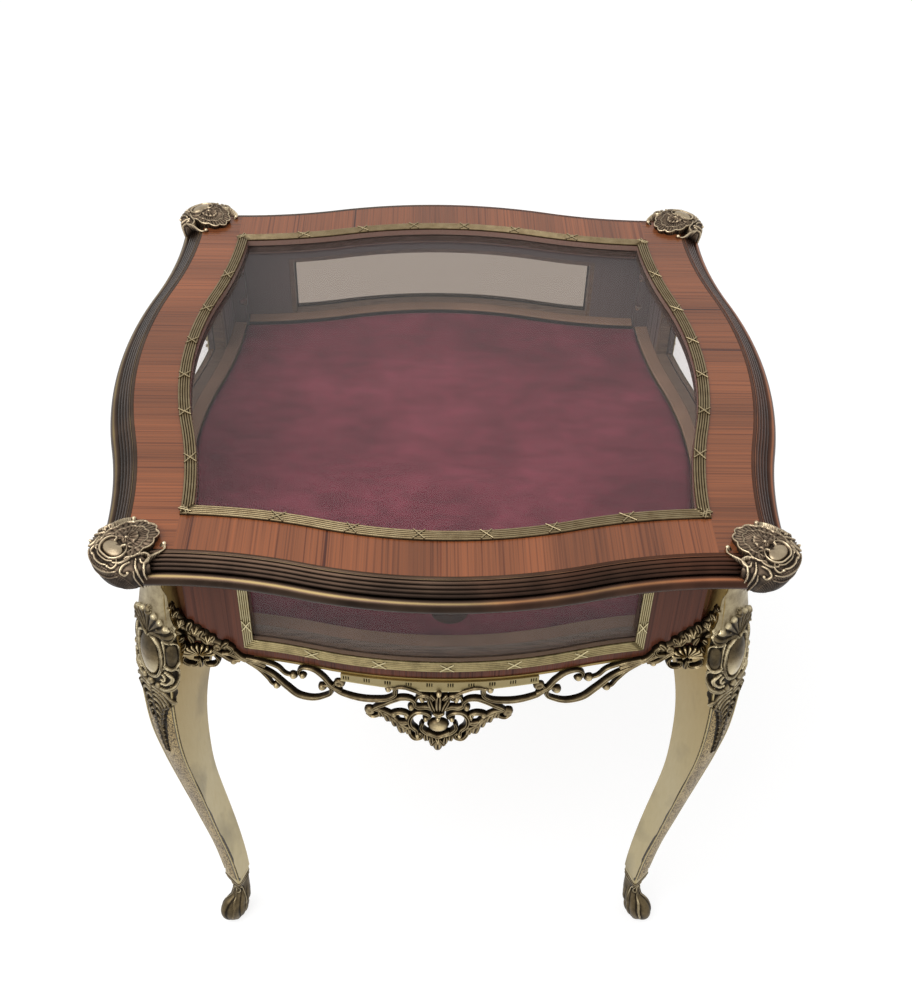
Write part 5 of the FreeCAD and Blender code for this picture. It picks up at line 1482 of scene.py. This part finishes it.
def node_materials():
    """Gives each CAD node its finish: steel, unless it is listed."""
    kept = {
        "base_board": board_wood,
        "case_edge_lines": leg_brass,
        "corner_posts": veneer_case,
        "lid_glass": lid_pane,
        "lid_glass_beads": dark_bead,
        "window_beads": tan_bead,
        "lock_case": shade_painted_lock,
        "hinge_case_leaves": hinge_brass,
        "hinge_lid_leaves": hinge_brass,
    }
    for side in SIDES:
        kept[f"case_wall_{side}"] = veneer_case
        kept[f"window_glass_{side}"] = shade_darkened_back_pane if side == "back" else window_pane
        kept[f"lid_rail_{side}"] = veneer_front_back if side in ("front", "back") else veneer_sides
    for corner in CORNERS:
        kept[f"leg_{corner}"] = leg_brass
    for name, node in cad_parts.items():
        node.data.materials.clear()
        node.data.materials.append(kept.get(name, steel))


# ---------------------------------------------------------------- stage

# Where the camera stands, in metres, its three turns in radians, and its lens and sensor in millimetres.
CAMERA_AT = (-0.02601, -1.22815, 1.65708)
CAMERA_PITCH = np.radians(42.405)
CAMERA_YAW, CAMERA_ROLL = -0.036238, 0.032218
CAMERA_LENS, CAMERA_SENSOR = 46.032, 36
# Half the floor's size in metres, how strongly it glows where it is seen, and what the lamp shines at.
FLOOR_HALF, FLOOR_GLOW = 12.0, 0.765
LAMP_AIM = (0, 0, 0.5)


def camera():
    """The camera stands in front of the table, a little left, and looks down at it."""
    cos, sin = np.cos(CAMERA_YAW), np.sin(CAMERA_YAW)
    about_z = np.array([[cos, -sin, 0], [sin, cos, 0], [0, 0, 1]])
    right = about_z @ np.array([1.0, 0.0, 0.0])
    ahead = about_z @ np.array([0.0, np.cos(CAMERA_PITCH), -np.sin(CAMERA_PITCH)])
    up = about_z @ np.array([0.0, np.sin(CAMERA_PITCH), np.cos(CAMERA_PITCH)])
    tilted_right = np.cos(CAMERA_ROLL) * right + np.sin(CAMERA_ROLL) * up
    tilted_up = np.cos(CAMERA_ROLL) * up - np.sin(CAMERA_ROLL) * right
    data = bpy.data.cameras.new("camera")
    data.sensor_width = CAMERA_SENSOR
    data.sensor_fit = "AUTO"
    data.lens = CAMERA_LENS
    holder = add_object("camera", data)
    axes = Matrix([list(row) for row in np.stack([tilted_right, tilted_up, -ahead], axis=1)])
    holder.matrix_world = Matrix.Translation(CAMERA_AT) @ axes.to_4x4()
    bpy.context.scene.camera = holder


def seen_rays(tree):
    """1 for camera rays and for what metal and glass show, 0 for the light that falls on the object."""
    path = tree.nodes.new("ShaderNodeLightPath")
    total = path.outputs["Is Camera Ray"]
    for name in ("Is Glossy Ray", "Is Transmission Ray"):
        either = tree.nodes.new("ShaderNodeMath")
        either.operation = "MAXIMUM"
        tree.links.new(total, either.inputs[0])
        tree.links.new(path.outputs[name], either.inputs[1])
        total = either.outputs["Value"]
    return total


def white_floor():
    """The floor. Where it is seen it glows over grey paint, so that it looks white and keeps its shadow.

    For the light that it throws on the object it is white paint and doesn't glow.
    """
    low, high = -FLOOR_HALF, FLOOR_HALF
    mesh = bpy.data.meshes.new("floor")
    mesh.from_pydata([(low, low, 0), (high, low, 0), (high, high, 0), (low, high, 0)], [], [(0, 1, 2, 3)])
    floor = add_object("floor", mesh)
    finish = Finish("floor_white", 0.95)
    seen = seen_rays(finish.tree)
    glow = finish.math("MULTIPLY", seen, FLOOR_GLOW)
    finish.shade({"Specular IOR Level": 0.0, "Emission Color": (1, 1, 1, 1), "Emission Strength": glow})
    finish.shade({"Base Color": finish.mixed(seen, (0.9, 0.9, 0.9), (0.34, 0.34, 0.34))})
    mesh.materials.append(finish.material)


def white_world():
    """The sky: full white where it is seen, and weaker for the light that it throws on the object."""
    world = bpy.data.worlds.new("studio")
    world.use_nodes = True
    sky = world.node_tree.nodes["Background"]
    sky.inputs["Color"].default_value = (1, 1, 1, 1)
    strength = world.node_tree.nodes.new("ShaderNodeMapRange")
    strength.inputs["To Min"].default_value = 0.7
    strength.inputs["To Max"].default_value = 1.0
    world.node_tree.links.new(seen_rays(world.node_tree), strength.inputs["Value"])
    world.node_tree.links.new(strength.outputs["Result"], sky.inputs["Strength"])
    bpy.context.scene.world = world


def lamp(name, at, size, energy):
    """A square lamp that shines at the middle of the table."""
    light = bpy.data.lights.new(name, "AREA")
    light.size = size
    light.energy = energy
    holder = add_object(name, light)
    holder.location = at
    holder.rotation_euler = (Vector(LAMP_AIM) - Vector(at)).to_track_quat("-Z", "Y").to_euler()


lid_reed_frame()
window_reeds()
edge_mouldings()
corner_mounts()
leg_strips()
knee_castings()
sabots()
aprons()
velvet_pad()
sill_ledge()
node_materials()
camera()
white_floor()
white_world()
lamp("softbox", (-1.2, -1.0, 3.0), 2.5, 60)

bpy.context.scene.view_settings.view_transform = "Standard"
